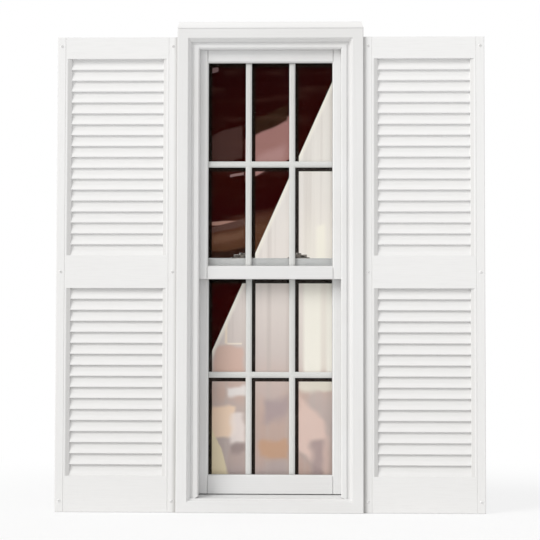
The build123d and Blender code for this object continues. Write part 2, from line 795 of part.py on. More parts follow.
def make_setting_blocks(y0, low):
    """Two blocks in the bottom pocket that carry the glass."""
    floor = low - POCKET_DEPTH
    front = y0 + GLASS_SETBACK
    with BuildPart() as blocks:
        with BuildSketch(Plane.XY.offset(floor)):
            with Locations(*[(side * BLOCK_DISTANCE, front + GLASS_UNIT_DEPTH / 2) for side in (-1, 1)]):
                Rectangle(BLOCK_LENGTH, GLASS_UNIT_DEPTH)
        extrude(amount=POCKET_CLEARANCE)
    return blocks


def save_glazing(sash, y0, low, high):
    """Panes, spacer, grille, gasket and setting blocks of one sash."""
    bite = POCKET_DEPTH - POCKET_CLEARANCE
    half = SIGHT + bite
    outer = y0 + GLASS_SETBACK
    inner = outer + GLASS_UNIT_DEPTH
    edge = (half, low - bite, high + bite)
    save(make_slab(*edge, outer, outer + PANE_THICKNESS), f"{sash}_outer_pane")
    save(make_slab(*edge, inner - PANE_THICKNESS, inner), f"{sash}_inner_pane")
    spacer = make_slab(*edge, outer + PANE_THICKNESS, inner - PANE_THICKNESS, SPACER_WIDTH)
    save(spacer, f"{sash}_spacer")
    ring = (SIGHT + GASKET_HIDE, low - GASKET_HIDE, high + GASKET_HIDE)
    gasket = make_slab(*ring, y0 + GLASS_LIP, outer, GASKET_HIDE + GASKET_SHOW)
    save(gasket, f"{sash}_gasket")
    save(make_grille(y0, low, high), f"{sash}_grille")
    save(make_setting_blocks(y0, low), f"{sash}_setting_blocks")


# Balances


def tube_screw_places():
    """Centres of the screws that hold the balance tubes, as (y, z)."""
    level = TUBE_TOP - TUBE_SCREW_DROP
    return [(y0 + SASH_THICKNESS / 2, level) for y0 in (UPPER_Y, LOWER_Y)]


def make_balance_tube(side, y0):
    """Tube of a spiral balance, fixed to the jamb at its top."""
    centre = (SIDES[side] * TUBE_X, y0 + SASH_THICKNESS / 2)
    with BuildPart() as tube:
        with BuildSketch(Plane.XY.offset(TUBE_TOP - TUBE_LENGTH)):
            with Locations(centre):
                Circle(TUBE_RADIUS)
                Circle(ROD_RADIUS + ROD_CLEARANCE, mode=Mode.SUBTRACT)
        extrude(amount=TUBE_LENGTH - TUBE_PLUG)
        with BuildSketch(Plane.XY.offset(TUBE_TOP - TUBE_LENGTH + TUBE_PLUG)):
            with Locations(centre):
                Circle(TUBE_RADIUS - TUBE_WALL)
        extrude(amount=TUBE_LENGTH - 2 * TUBE_PLUG, mode=Mode.SUBTRACT)
        with BuildSketch(Plane.XY.offset(TUBE_TOP - TUBE_PLUG)):
            with Locations(centre):
                Circle(TUBE_RADIUS)
        extrude(amount=TUBE_PLUG)
        with BuildSketch(Plane.YZ):
            with Locations((centre[1], TUBE_TOP - TUBE_SCREW_DROP)):
                Circle(TUBE_SCREW_RADIUS + PILOT_CLEARANCE)
        extrude(amount=SIDES[side] * TRACK_WALL, mode=Mode.SUBTRACT)
    return tube


def make_balance_screws():
    """Four screws through the balance tubes into the jambs."""
    head = TUBE_X - TUBE_RADIUS
    with BuildPart() as screws:
        for side in SIDES.values():
            with BuildSketch(Plane.YZ.offset(side * head)):
                with Locations(*tube_screw_places()):
                    Circle(TUBE_SCREW_HEAD_RADIUS)
            extrude(amount=-side * TUBE_SCREW_HEAD)
            with BuildSketch(Plane.YZ.offset(side * head)):
                with Locations(*tube_screw_places()):
                    Circle(TUBE_SCREW_RADIUS)
            extrude(amount=side * (TRACK_WALL - head + TUBE_SCREW_BITE))
    return screws


def make_balance_rod(side, y0, low, high):
    """Rod of a balance, on the foot that lifts the sash."""
    x = SIDES[side] * TUBE_X
    y = y0 + SASH_THICKNESS / 2
    groove_floor = SASH_OUT - GROOVE_DEPTH
    foot_out = SASH_OUT - FOOT_CLEARANCE
    with BuildPart() as rod:
        with BuildSketch(Plane.XY.offset(low)):
            with Locations((SIDES[side] * (groove_floor + foot_out) / 2, y)):
                Rectangle(foot_out - groove_floor, GROOVE_WIDTH - 2 * FOOT_SIDE_CLEARANCE)
        extrude(amount=ROD_FOOT)
        with BuildSketch(Plane.XY.offset(low)):
            with Locations((x, y)):
                Circle(ROD_RADIUS)
        extrude(amount=high - low)
    return rod


# Locks


def lock_screw_places():
    """Centres of the lock screws as (x, y)."""
    y = LOWER_Y + LOCK_FRONT_SETBACK + LOCK_DEPTH / 2
    return [
        (side * LOCK_DISTANCE + end * LOCK_SCREW_DISTANCE, y)
        for side in SIDES.values()
        for end in (-1, 1)
    ]


def keeper_screw_places():
    """Centres of the keeper screws as (x, y)."""
    y = UPPER_Y + SASH_THICKNESS - INNER_LIP / 2
    return [
        (side * LOCK_DISTANCE + end * KEEPER_SCREW_DISTANCE, y)
        for side in SIDES.values()
        for end in (-1, 1)
    ]


def sector(x, y, outer, inner, start, end):
    """Ring sector about a centre, in the current sketch; angles in degrees."""

    def at(radius, angle):
        turn = math.radians(angle)
        return (x + radius * math.cos(turn), y + radius * math.sin(turn))

    middle = (start + end) / 2
    with BuildLine() as outline:
        ThreePointArc(at(outer, start), at(outer, middle), at(outer, end))
        Line(at(outer, end), at(inner, end))
        ThreePointArc(at(inner, end), at(inner, middle), at(inner, start))
        Line(at(inner, start), at(outer, start))
    make_face(outline.edges())


def cam_level():
    """Underside of the cam."""
    return LOWER_TOP + LOCK_PLATE + CAM_GAP


def cover_level():
    """Underside of the lock's cover."""
    return cam_level() + CAM_THICKNESS + CAM_COVER_GAP


def make_lock_base(x):
    """Die-cast lock body: plate with two ears, closed block, back wall and cover."""
    front = LOWER_Y + LOCK_FRONT_SETBACK
    middle = front + LOCK_DEPTH / 2
    plate_top = LOWER_TOP + LOCK_PLATE
    back_wall = front + LOCK_DEPTH - HOUSING_WALL / 2
    with BuildPart() as base:
        with BuildSketch(Plane.XY.offset(LOWER_TOP)):
            with Locations((x, middle)):
                RectangleRounded(LOCK_LENGTH, LOCK_DEPTH, LOCK_DEPTH / 4)
        extrude(amount=LOCK_PLATE)
        with BuildSketch(Plane.XY.offset(plate_top)):
            with Locations((x - HOUSING_LENGTH / 2 + HOUSING_BLOCK / 2, middle)):
                Rectangle(HOUSING_BLOCK, LOCK_DEPTH)
            with Locations((x, back_wall)):
                Rectangle(HOUSING_LENGTH, HOUSING_WALL)
        extrude(amount=cover_level() - plate_top)
        with BuildSketch(Plane.XY.offset(cover_level())):
            with Locations((x, middle)):
                Rectangle(HOUSING_LENGTH, LOCK_DEPTH)
        extrude(amount=COVER_THICKNESS)
        fillet(base.faces().sort_by(Axis.Z)[-1].edges(), COVER_RADIUS)
        with BuildSketch(Plane.XY.offset(plate_top)):
            with Locations((x, PIVOT_Y)):
                Circle(SHAFT_RADIUS + SHAFT_CLEARANCE)
        extrude(amount=cover_level() + COVER_THICKNESS - plate_top, mode=Mode.SUBTRACT)
        with BuildSketch(Plane.XY.offset(LOWER_TOP)):
            with Locations(*lock_screw_places()):
                Circle(LOCK_SCREW_RADIUS + PILOT_CLEARANCE)
        extrude(amount=LOCK_PLATE, mode=Mode.SUBTRACT)
    return base


def make_lock_lever(x):
    """Cam, shaft and thumb lever in one turning piece, drawn unlocked."""
    arm_low = cover_level() + COVER_THICKNESS + ARM_GAP
    web_angle = CAM_HALF_ANGLE - math.degrees(CAM_WEB_WIDTH / CAM_RADIUS) / 2
    web_length = CAM_RADIUS - CAM_BAND / 2
    web_middle = (
        x + web_length / 2 * math.cos(math.radians(web_angle)),
        PIVOT_Y + web_length / 2 * math.sin(math.radians(web_angle)),
    )
    shaft_foot = LOWER_TOP + LOCK_PLATE + SHAFT_CLEARANCE
    with BuildPart() as lever:
        with BuildSketch(Plane.XY.offset(cam_level())):
            with Locations((x, PIVOT_Y)):
                Circle(HUB_RADIUS)
            with Locations(web_middle):
                Rectangle(web_length, CAM_WEB_WIDTH, rotation=web_angle)
            sector(x, PIVOT_Y, CAM_RADIUS, CAM_RADIUS - CAM_BAND, -CAM_HALF_ANGLE, CAM_HALF_ANGLE)
        extrude(amount=CAM_THICKNESS)
        with BuildSketch(Plane.XY.offset(shaft_foot)):
            with Locations((x, PIVOT_Y)):
                Circle(SHAFT_RADIUS)
        extrude(amount=arm_low + ARM_THICKNESS - shaft_foot)
        with BuildSketch(Plane.XY.offset(arm_low)):
            with Locations((x, PIVOT_Y)):
                Circle(ARM_HUB_RADIUS)
            with Locations((x, PIVOT_Y + ARM_LENGTH)):
                Circle(ARM_TIP_RADIUS)
            make_hull()
        extrude(amount=ARM_THICKNESS)
        with BuildSketch(Plane.XY.offset(arm_low + ARM_THICKNESS)):
            with Locations((x, PIVOT_Y + ARM_LENGTH)):
                Circle(ARM_TAB_RADIUS)
        extrude(amount=ARM_TAB_HEIGHT)
        fillet(lever.faces().sort_by(Axis.Z)[-1].edges(), ARM_TAB_RADIUS / 2)
    return lever


def make_keeper(x):
    """Keeper: a plate with a curved lip for the cam and a roof over it."""
    strip = INNER_LIP - 2 * KEEPER_EDGE_GAP
    middle = UPPER_Y + SASH_THICKNESS - INNER_LIP / 2
    plate_top = KEEPER_SEAT + KEEPER_PLATE
    with BuildPart() as keeper:
        with BuildSketch(Plane.XY.offset(KEEPER_SEAT)):
            with Locations((x, middle)):
                RectangleRounded(KEEPER_LENGTH, strip, strip / 4)
        extrude(amount=KEEPER_PLATE)
        with BuildSketch(Plane.XY.offset(plate_top)):
            sector(
                x,
                PIVOT_Y,
                KEEPER_LIP_RADIUS + KEEPER_LIP,
                KEEPER_LIP_RADIUS,
                -90 - KEEPER_HALF_ANGLE,
                -90 + KEEPER_HALF_ANGLE,
            )
        extrude(amount=cover_level() - plate_top)
        with BuildSketch(Plane.XY.offset(cover_level())):
            with Locations((x, middle)):
                Rectangle(KEEPER_ROOF_LENGTH, strip)
        extrude(amount=KEEPER_ROOF)
        with BuildSketch(Plane.XY.offset(KEEPER_SEAT)):
            with Locations(*keeper_screw_places()):
                Circle(KEEPER_SCREW_RADIUS + PILOT_CLEARANCE)
        extrude(amount=KEEPER_PLATE, mode=Mode.SUBTRACT)
    return keeper


def make_seat_screws(places, seat, head_radius, head, radius, length):
    """Screws driven down into a seat, heads on top."""
    with BuildPart() as screws:
        with BuildSketch(Plane.XY.offset(seat)):
            with Locations(*places):
                Circle(head_radius)
        extrude(amount=head)
        fillet(screws.edges().filter_by(GeomType.CIRCLE).group_by(Axis.Z)[-1], head / 2)
        with BuildSketch(Plane.XY.offset(seat)):
            with Locations(*places):
                Circle(radius)
        extrude(amount=-length)
    return screws


# Weatherstrips


def make_bar(half, y, depth, low, high):
    """Plain strip along X."""
    with BuildPart() as strip:
        with BuildSketch(Plane.XY.offset(low)):
            with Locations((0, y + depth / 2)):
                Rectangle(2 * half, depth)
        extrude(amount=high - low)
    return strip


def make_side_seals(y0, low, high):
    """Pile strips on the outer edges of both stiles of a sash."""
    thickness = TRACK_WALL - SEAL_GAP - SASH_OUT
    with BuildPart() as seals:
        with BuildSketch(Plane.XY.offset(low)):
            for side in SIDES.values():
                with Locations((side * (SASH_OUT + thickness / 2), y0 + PILE_INSET + PILE_WIDTH / 2)):
                    Rectangle(thickness, PILE_WIDTH)
        extrude(amount=high - low)
    return seals


def save_shutters():
    """Both shutters and their screws."""
    for side, sign in SIDES.items():
        save(make_shutter(sign * SHUTTER_CENTRE), f"{side}_shutter")
        save(make_shutter_screws(sign * SHUTTER_CENTRE), f"{side}_shutter_screws")


def save_frame():
    """Casing, drip cap and window frame."""
    for side in ("left", "right", "head", "bottom"):
        save(make_casing(side), f"{side}_casing")
        name = {"head": "head_jamb", "bottom": "sill"}.get(side, f"{side}_jamb")
        save(make_frame_member(side), name)
    save(make_drip_cap(), "drip_cap")


def save_sashes():
    """Stiles, rails, glazing and weatherstrips of both sashes."""
    for side in SIDES:
        save(make_stile(side, UPPER_Y, UPPER_BOTTOM, UPPER_TOP), f"upper_{side}_stile")
        save(make_stile(side, LOWER_Y, LOWER_BOTTOM, LOWER_TOP), f"lower_{side}_stile")
    save(make_top_rail(), "upper_top_rail")
    save(make_meeting_rail(), "meeting_rail")
    save(make_check_rail(), "check_rail")
    save(make_bottom_rail(), "bottom_rail")
    save_glazing("upper", UPPER_Y, UPPER_BOTTOM + MEETING_RAIL, UPPER_TOP - TOP_RAIL)
    save_glazing("lower", LOWER_Y, LOWER_BOTTOM + BOTTOM_RAIL, LOWER_TOP - CHECK_RAIL)
    upper_middle = UPPER_Y + (SASH_THICKNESS - SEAL_WIDTH) / 2
    lower_middle = LOWER_Y + (SASH_THICKNESS - SEAL_WIDTH) / 2
    head_seal = make_bar(SIGHT, upper_middle, SEAL_WIDTH, UPPER_TOP, HEAD_TRACK - SEAL_GAP)
    save(head_seal, "head_seal")
    sill_seal = make_bar(SIGHT, lower_middle, SEAL_WIDTH, SILL_SEAT + SEAL_GAP, LOWER_BOTTOM)
    save(sill_seal, "sill_seal")
    seal_front = UPPER_Y + SASH_THICKNESS + SEAL_GAP
    seal_low = LOWER_TOP - MEETING_SEAL_DROP - MEETING_SEAL_HEIGHT
    meeting_seal = make_bar(
        SIGHT, seal_front, LOWER_Y - seal_front, seal_low, seal_low + MEETING_SEAL_HEIGHT
    )
    save(meeting_seal, "meeting_seal")
    save(make_side_seals(UPPER_Y, UPPER_BOTTOM, UPPER_TOP), "upper_side_seals")
    save(make_side_seals(LOWER_Y, LOWER_BOTTOM, LOWER_TOP), "lower_side_seals")


def save_balances():
    """Tubes, rods and screws of the four balances."""
    for side in SIDES:
        save(make_balance_tube(side, UPPER_Y), f"{side}_upper_balance_tube")
        save(make_balance_tube(side, LOWER_Y), f"{side}_lower_balance_tube")
        upper_rod = make_balance_rod(side, UPPER_Y, UPPER_BOTTOM, ROD_HIGH)
        save(upper_rod, f"{side}_upper_balance_rod")
        lower_rod = make_balance_rod(side, LOWER_Y, LOWER_BOTTOM, ROD_HIGH - SASH_TRAVEL)
        save(lower_rod, f"{side}_lower_balance_rod")
    save(make_balance_screws(), "balance_screws")


def save_locks():
    """Lock bodies, levers, keepers and their screws."""
    for side, sign in SIDES.items():
        save(make_lock_base(sign * LOCK_DISTANCE), f"{side}_lock_base")
        save(make_lock_lever(sign * LOCK_DISTANCE), f"{side}_lock_lever")
        save(make_keeper(sign * LOCK_DISTANCE), f"{side}_keeper")
    lock_screws = make_seat_screws(
        lock_screw_places(),
        LOWER_TOP + LOCK_PLATE,
        LOCK_SCREW_HEAD_RADIUS,
        LOCK_SCREW_HEAD,
        LOCK_SCREW_RADIUS,
        LOCK_SCREW_LENGTH,
    )
    save(lock_screws, "lock_screws")
    keeper_screws = make_seat_screws(
        keeper_screw_places(),
        KEEPER_SEAT + KEEPER_PLATE,
        KEEPER_SCREW_HEAD_RADIUS,
        KEEPER_SCREW_HEAD,
        KEEPER_SCREW_RADIUS,
        KEEPER_SCREW_LENGTH,
    )
    save(keeper_screws, "keeper_screws")


save_shutters()
save_frame()
save_sashes()
save_balances()
save_locks()
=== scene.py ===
import math
import random

import bpy
from mathutils import Matrix, Vector


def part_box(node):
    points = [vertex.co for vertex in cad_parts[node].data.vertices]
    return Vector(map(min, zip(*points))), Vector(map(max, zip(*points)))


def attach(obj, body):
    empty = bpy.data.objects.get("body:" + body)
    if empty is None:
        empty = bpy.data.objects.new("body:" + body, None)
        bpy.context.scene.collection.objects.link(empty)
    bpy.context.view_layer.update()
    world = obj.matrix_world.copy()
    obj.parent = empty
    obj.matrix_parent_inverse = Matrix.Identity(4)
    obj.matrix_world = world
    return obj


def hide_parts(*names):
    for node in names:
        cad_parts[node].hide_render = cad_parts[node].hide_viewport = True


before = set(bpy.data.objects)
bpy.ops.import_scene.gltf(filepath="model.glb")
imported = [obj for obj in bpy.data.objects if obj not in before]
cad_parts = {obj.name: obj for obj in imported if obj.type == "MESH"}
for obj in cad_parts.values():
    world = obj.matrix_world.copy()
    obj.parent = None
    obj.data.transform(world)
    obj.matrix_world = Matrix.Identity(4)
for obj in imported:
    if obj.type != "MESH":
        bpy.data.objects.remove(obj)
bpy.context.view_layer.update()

# Measures are metres in the part's own frame: +X right, +Z up, -Y outdoors.
SIDES = ("left", "right")
SASHES = ("upper", "lower")

# Camera: its place, its turn to the right, upwards and about its line of sight,
# and its lens and sensor in millimetres
CAMERA_PLACE = Vector((0.12, -5.0, 0.55))
CAMERA_YAW = math.radians(-1.38)
CAMERA_PITCH = math.radians(2.42)
CAMERA_ROLL = math.radians(0.11)
LENS = 105.5
SENSOR = 36.0

# Light: the world's level on the object, and one soft sun with the way it travels
AMBIENT = 0.64
WORLD_COLOUR = (1.0, 1.0, 1.0)
KEY_STRENGTH = 1.7
KEY_ANGLE = math.radians(32)
KEY_TRAVEL = Vector((1.18, 1.0, -1.0))
KEY_COLOUR = (1.0, 0.99, 0.97)

# Floor: it lies just under the object. Seen directly, this share of it glows near
# the object and all of it beyond the second distance, so that the shadow shows
# near the object and the rest is white.
FLOOR_SIZE = 60.0
FLOOR_DROP = 0.0006
FLOOR_LIFT = 0.75
FLOOR_FADE = (0.9, 2.4)

# Values of a noise over which a finish goes from one tone, or one gloss, to the other
TONE_SPAN = (0.35, 0.65)
GLOSS_SPAN = (0.3, 0.7)

NOISE_MIDDLE = 0.5

# How much green a warm grey loses for each part of blue
GREEN_LOSS = 0.4

# Plain finishes: weight of the broad mottle beside the grain, how far the
# roughness swings to either side, and for each finish its light and dark tone as
# level and warmth, roughness, the grain's scale, stretch and depth, and metal
MOTTLE_WEIGHT = 0.6
ROUGHNESS_SWING = 0.06
EVEN = (1, 1, 1)
PLAIN_FINISHES = {
    "grille_enamel": ((0.80, 0.02), (0.75, 0.03), 0.35, 300, EVEN, 0.0001, 0.0),
    "spacer_aluminium": ((0.62, 0.0), (0.55, 0.0), 0.35, 900, EVEN, 0.00002, 1.0),
    "glazing_tape": ((0.52, 0.02), (0.44, 0.02), 0.70, 500, EVEN, 0.0001, 0.0),
    "block_rubber": ((0.03, 0.0), (0.02, 0.0), 0.75, 400, EVEN, 0.0001, 0.0),
    "tube_vinyl": ((0.74, 0.01), (0.69, 0.02), 0.35, 200, EVEN, 0.0001, 0.0),
    "rod_steel": ((0.56, 0.0), (0.44, 0.0), 0.30, 40, (30, 30, 1), 0.00003, 1.0),
    "screw_zinc": ((0.62, 0.0), (0.50, 0.03), 0.35, 700, EVEN, 0.00003, 1.0),
    "lock_enamel": ((0.76, 0.02), (0.72, 0.03), 0.28, 420, EVEN, 0.000015, 0.0),
    "seal_pile": ((0.36, 0.01), (0.24, 0.02), 0.95, 1400, (1, 1, 0.2), 0.0004, 0.0),
    "pile_wool": ((0.42, 0.02), (0.26, 0.03), 0.95, 1600, EVEN, 0.0001, 0.0),
    "foam_skin": ((0.50, 0.03), (0.36, 0.04), 0.80, 900, EVEN, 0.0003, 0.0),
}

# Moulded shutters: width of the stiles, where the grain turns upright, and how
# softly it turns; weight of the mottle beside the change from darker at the foot to lighter at
# the head; and the share of the darker tone in the grain's hollows
STILE_WIDTH = 0.031
STILE_BLEND = 0.001
SHUTTER_MOTTLE = 0.2
HOLLOW_SPAN = (0.25, 0.6)
HOLLOW_SHARE = 0.12

# Painted shade on the shutters' front, as shares of its tone: on the bevel round each
# louvre field, on the upper part of each louvre, and in the creases under the
# noses of the low and the high fields. Each lies between two depths behind the
# face: it sets in over the first pair and ends over the second.
PAINTED_SHADE_TONE = (0.42, 0.41, 0.395)
RIM_SHADE = 0.30
RIM_DEPTHS = ((0.0004, 0.0014), (0.0056, 0.0062))
ROOT_SHADE = 0.11
ROOT_DEPTHS = ((0.0090, 0.0125), (0.0132, 0.0148))
CREASE_SHADE = (0.16, 0.0)
CREASE_DEPTHS = ((0.0132, 0.0152), (0.0172, 0.0176))
FIELD_SPLIT = (0.72, 0.80)  # heights between the low and the high fields

# Painted shade beside the casing: heights between the foot and the rest, then the shade's
# share and its reach for each, and the part of its reach over which it is full
JOINT_FOOT = (0.25, 0.40)
JOINT_SHADE = (0.72, 0.50)
JOINT_REACH = (0.016, 0.013)
JOINT_FULL = 0.1

# Brushed paint: how much darker its mottle and its strokes are, and the strokes' share
PAINT_MOTTLE = 0.025
STROKE_DARKER = 0.18
STROKE_SPAN = (0.3, 0.5)
STROKE_SHARE = 0.08

# Extruded vinyl: how much darker its mottle is
VINYL_MOTTLE = 0.02

# Window: the bars' width, the lites across a sash, and how far the glazing tape
# runs under the rails and stiles
BAR_WIDTH = 0.019
LITES_ACROSS = 3
SIGHT_LAP = 0.008

# What the glass shows: a drawn pale curtain on the right of a slanting edge and
# a dim room on its left. Tones are (height, colour) in metres and linear values.
CURTAIN_EDGE = (Vector((0.196, 1.362)), Vector((-0.173, 0.536)))
EDGE_SOFT = 0.0012
CURTAIN_TONES = (
    (0.10, (0.47, 0.38, 0.37)),
    (0.25, (0.53, 0.44, 0.42)),
    (0.42, (0.66, 0.53, 0.49)),
    (0.50, (0.70, 0.61, 0.58)),
    (0.80, (0.88, 0.81, 0.77)),
    (1.10, (0.85, 0.81, 0.78)),
    (1.45, (0.85, 0.79, 0.75)),
)
ROOM_TONES = (
    (0.50, (0.022, 0.001, 0.001)),
    (0.74, (0.030, 0.001, 0.001)),
    (0.80, (0.090, 0.036, 0.018)),
    (0.90, (0.100, 0.042, 0.022)),
    (0.935, (0.075, 0.026, 0.016)),
    (0.96, (0.022, 0.001, 0.001)),
    (1.10, (0.024, 0.002, 0.001)),
    (1.42, (0.014, 0.001, 0.001)),
)
ROOM_SLOPE = 0.22

# Surfaces seen in the room, below the curtain's foot and on the curtain: a point
# of each shape's upper edge, the edge's rise, the shape's depth, its left and
# right ends, its softness and its colour
ROOM_SHAPES = (
    (-0.045, 1.200, 0.49, 0.135, -0.082, 0.062, 0.003, (0.36, 0.182, 0.165)),
    (-0.020, 1.130, 0.49, 0.060, -0.062, 0.062, 0.030, (0.44, 0.250, 0.235)),
    (-0.198, 1.185, 0.36, 0.110, -0.200, -0.085, 0.010, (0.060, 0.026, 0.022)),
    (-0.100, 1.225, 0.42, 0.060, -0.075, 0.060, 0.012, (0.030, 0.012, 0.006)),
    (-0.190, 0.919, -0.04, 0.014, -0.200, -0.080, 0.004, (0.36, 0.200, 0.160)),
    (-0.100, 0.918, 0.20, 0.022, -0.190, -0.080, 0.004, (0.100, 0.050, 0.040)),
    (-0.120, 1.068, 0.25, 0.008, -0.130, -0.084, 0.002, (0.26, 0.160, 0.150)),
    (-0.150, 0.875, 0.18, 0.030, -0.192, -0.075, 0.016, (0.150, 0.072, 0.044)),
    (-0.150, 0.826, 0.08, 0.050, -0.200, -0.062, 0.014, (0.022, 0.008, 0.005)),
    (-0.190, 1.405, 0.30, 0.018, -0.192, -0.165, 0.004, (0.18, 0.110, 0.110)),
)
SOFA_SHAPES = (
    (-0.150, 0.330, 0.02, 0.110, -0.210, -0.104, 0.016, (0.98, 0.740, 0.560)),
    (-0.112, 0.300, 0.10, 0.110, -0.136, -0.075, 0.022, (0.92, 0.820, 0.790)),
    (-0.187, 0.260, -2.4, 0.300, -0.230, -0.130, 0.016, (0.88, 0.760, 0.520)),
    (-0.120, 0.385, 0.06, 0.036, -0.150, -0.070, 0.016, (0.92, 0.880, 0.870)),
    (-0.110, 0.205, 0.05, 0.040, -0.136, -0.075, 0.020, (0.34, 0.270, 0.260)),
    (0.012, 0.225, 0.05, 0.080, -0.046, 0.070, 0.024, (0.60, 0.360, 0.230)),
    (0.020, 0.350, 0.30, 0.080, -0.040, 0.070, 0.030, (0.44, 0.350, 0.360)),
    (0.100, 0.355, -0.9, 0.190, 0.070, 0.196, 0.030, (0.84, 0.630, 0.560)),
    (0.150, 0.225, 0.00, 0.160, 0.116, 0.186, 0.030, (0.40, 0.310, 0.310)),
    (0.150, 0.410, 0.00, 0.050, 0.090, 0.230, 0.016, (0.84, 0.800, 0.700)),
    (-0.140, 0.520, 0.00, 0.110, -0.190, -0.075, 0.020, (0.72, 0.490, 0.410)),
)
CURTAIN_SHAPES = (
    (-0.140, 0.700, 0.00, 0.175, -0.149, -0.135, 0.006, (0.92, 0.780, 0.640)),
    (-0.115, 0.531, 0.00, 0.007, -0.140, -0.090, 0.003, (0.94, 0.840, 0.740)),
    (0.150, 0.740, 0.00, 0.310, 0.100, 0.168, 0.014, (1.00, 0.975, 0.900)),
    (0.190, 0.740, 0.00, 0.310, 0.172, 0.230, 0.014, (1.00, 0.980, 0.930)),
    (0.160, 0.905, 0.30, 0.130, 0.138, 0.182, 0.016, (1.00, 0.950, 0.830)),
)
SHAPE_STRENGTH = 0.8

# Faint streaks across the room
ROOM_STREAK = (0.20, 0.10, 0.07)
STREAK_SPAN = (0.50, 0.72)
STREAK_SHARE = 0.10

# Warm patches below the curtain's foot, which lies between two heights
CURTAIN_BLUSH = (0.66, 0.40, 0.29)
BLUSH_HEIGHTS = (0.36, 0.46)
BLUSH_SPAN = (0.40, 0.65)
BLUSH_SHARE = 0.35
CURTAIN_FOOT = (0.42, 0.46)

# Folds, the lit right part with its share low and high up, and the lit hem
CURTAIN_FOLD = (0.56, 0.49, 0.46)
FOLD_SPAN = (0.42, 0.70)
FOLD_SHARE = 0.40
CURTAIN_LIGHT = (0.98, 0.93, 0.84)
LIT_FROM = (0.07, 0.13)
LIT_SHARE = 0.60
LIT_HEIGHTS = (0.80, 1.00)
LIT_HIGH_UP = 0.3
HEM_WIDTH = (0.003, 0.016)
HEM_SHARE = 0.8

# Painted shadows beside and below the bars, and the bars' own tone on the pane behind
BAR_SHADOW_ACROSS = 0.0122
BAR_SHADOW_DOWN = 0.0125
BAND_SOFT = 0.0012
BAR_SHADOW_SHARE = 0.97
BAR_SHADOW_TONE = (0.012, 0.008, 0.006)
BAR_BEHIND = (0.72, 0.72, 0.70)
VIEW_ROUGHNESS = (0.5, 0.7)

# Clear part of the upper pane: the grey it passes before the check rail, and before the
# locks a darker grey that is painted shade on them; and the locks' outline there, a foot, a
# housing set in from its ends and a lever that stands above it
RAIL_SHADE = (0.95, 0.95, 0.95)
LOCK_SHADE = (0.76, 0.74, 0.72)
LOCK_FOOT = 0.003
LOCK_SHOULDER = 0.009
LEVER_HALF_WIDTH = 0.0085
LEVER_ABOVE = 0.005

# Pile seals: rows of tufts and their spacing, the backing's thickness, and, as
# shares, a tuft's reach out of the gap, its lean and its half width
PILE_ROWS = 3
PILE_STEP = 0.0015
PILE_BACKING = 0.0005
TUFT_REACH = (0.82, 1.0)
TUFT_LEAN_Y = 0.2
TUFT_LEAN_Z = 0.25
TUFT_HALF = 0.3

# Foam seals: sections along, corners round, uneven swelling, and the power that
# makes the section squarer than an ellipse
SEAL_SECTIONS = 120
SEAL_SIDES = 14
SEAL_SWELL = (0.93, 1.0)
SEAL_POWER = 0.6
SEAL_TURNS = [2 * math.pi * (side + 0.5) / SEAL_SIDES for side in range(SEAL_SIDES)]

# Shutter screws: radii of head, neck and thread root; the head's rings, the first
# ring's share of its radius, and the share of its height and the power of its dome
SCREW_HEAD = 0.0048
SCREW_NECK = 0.0019
SCREW_ROOT = 0.0017
SCREW_SIDES = 24
SCREW_TURNS = [2 * math.pi * side / SCREW_SIDES for side in range(SCREW_SIDES)]
SCREW_APART = 0.02  # points nearer than this belong to one screw
HEAD_RINGS = 14
HEAD_CENTRE = 0.01
HEAD_DOME = 0.9
DOME_POWER = 3
# Cross recess in the head
RECESS_REACH = 0.0027
RECESS_HALF_WIDTH = 0.0006
RECESS_DEPTH = 0.0016
# Thread: sections along one turn, how much narrower than the pitch its ridge is,
# the length of the point and the share of the radius left at its tip
THREAD_PITCH = 0.0022
THREAD_DEPTH = 0.0007
THREAD_STEPS = 5
THREAD_STEEPNESS = 3.0
SCREW_POINT = 0.009
SCREW_TIP = 0.04
PAINT_ENDS = (-0.0275, -0.0265)  # y between the painted head and the bare steel

# Corners of a square and faces of a box, in the order that the mesh code uses
SQUARE = ((-1, -1), (1, -1), (1, 1), (-1, 1))
BOX_FACES = ((0, 1, 3, 2), (4, 6, 7, 5), (0, 4, 5, 1), (2, 3, 7, 6), (0, 2, 6, 4), (1, 5, 7, 3))

# Sockets of the Mix node that are for colours
MIX_SHARE, MIX_FIRST, MIX_SECOND, MIX_RESULT = 0, 6, 7, 2


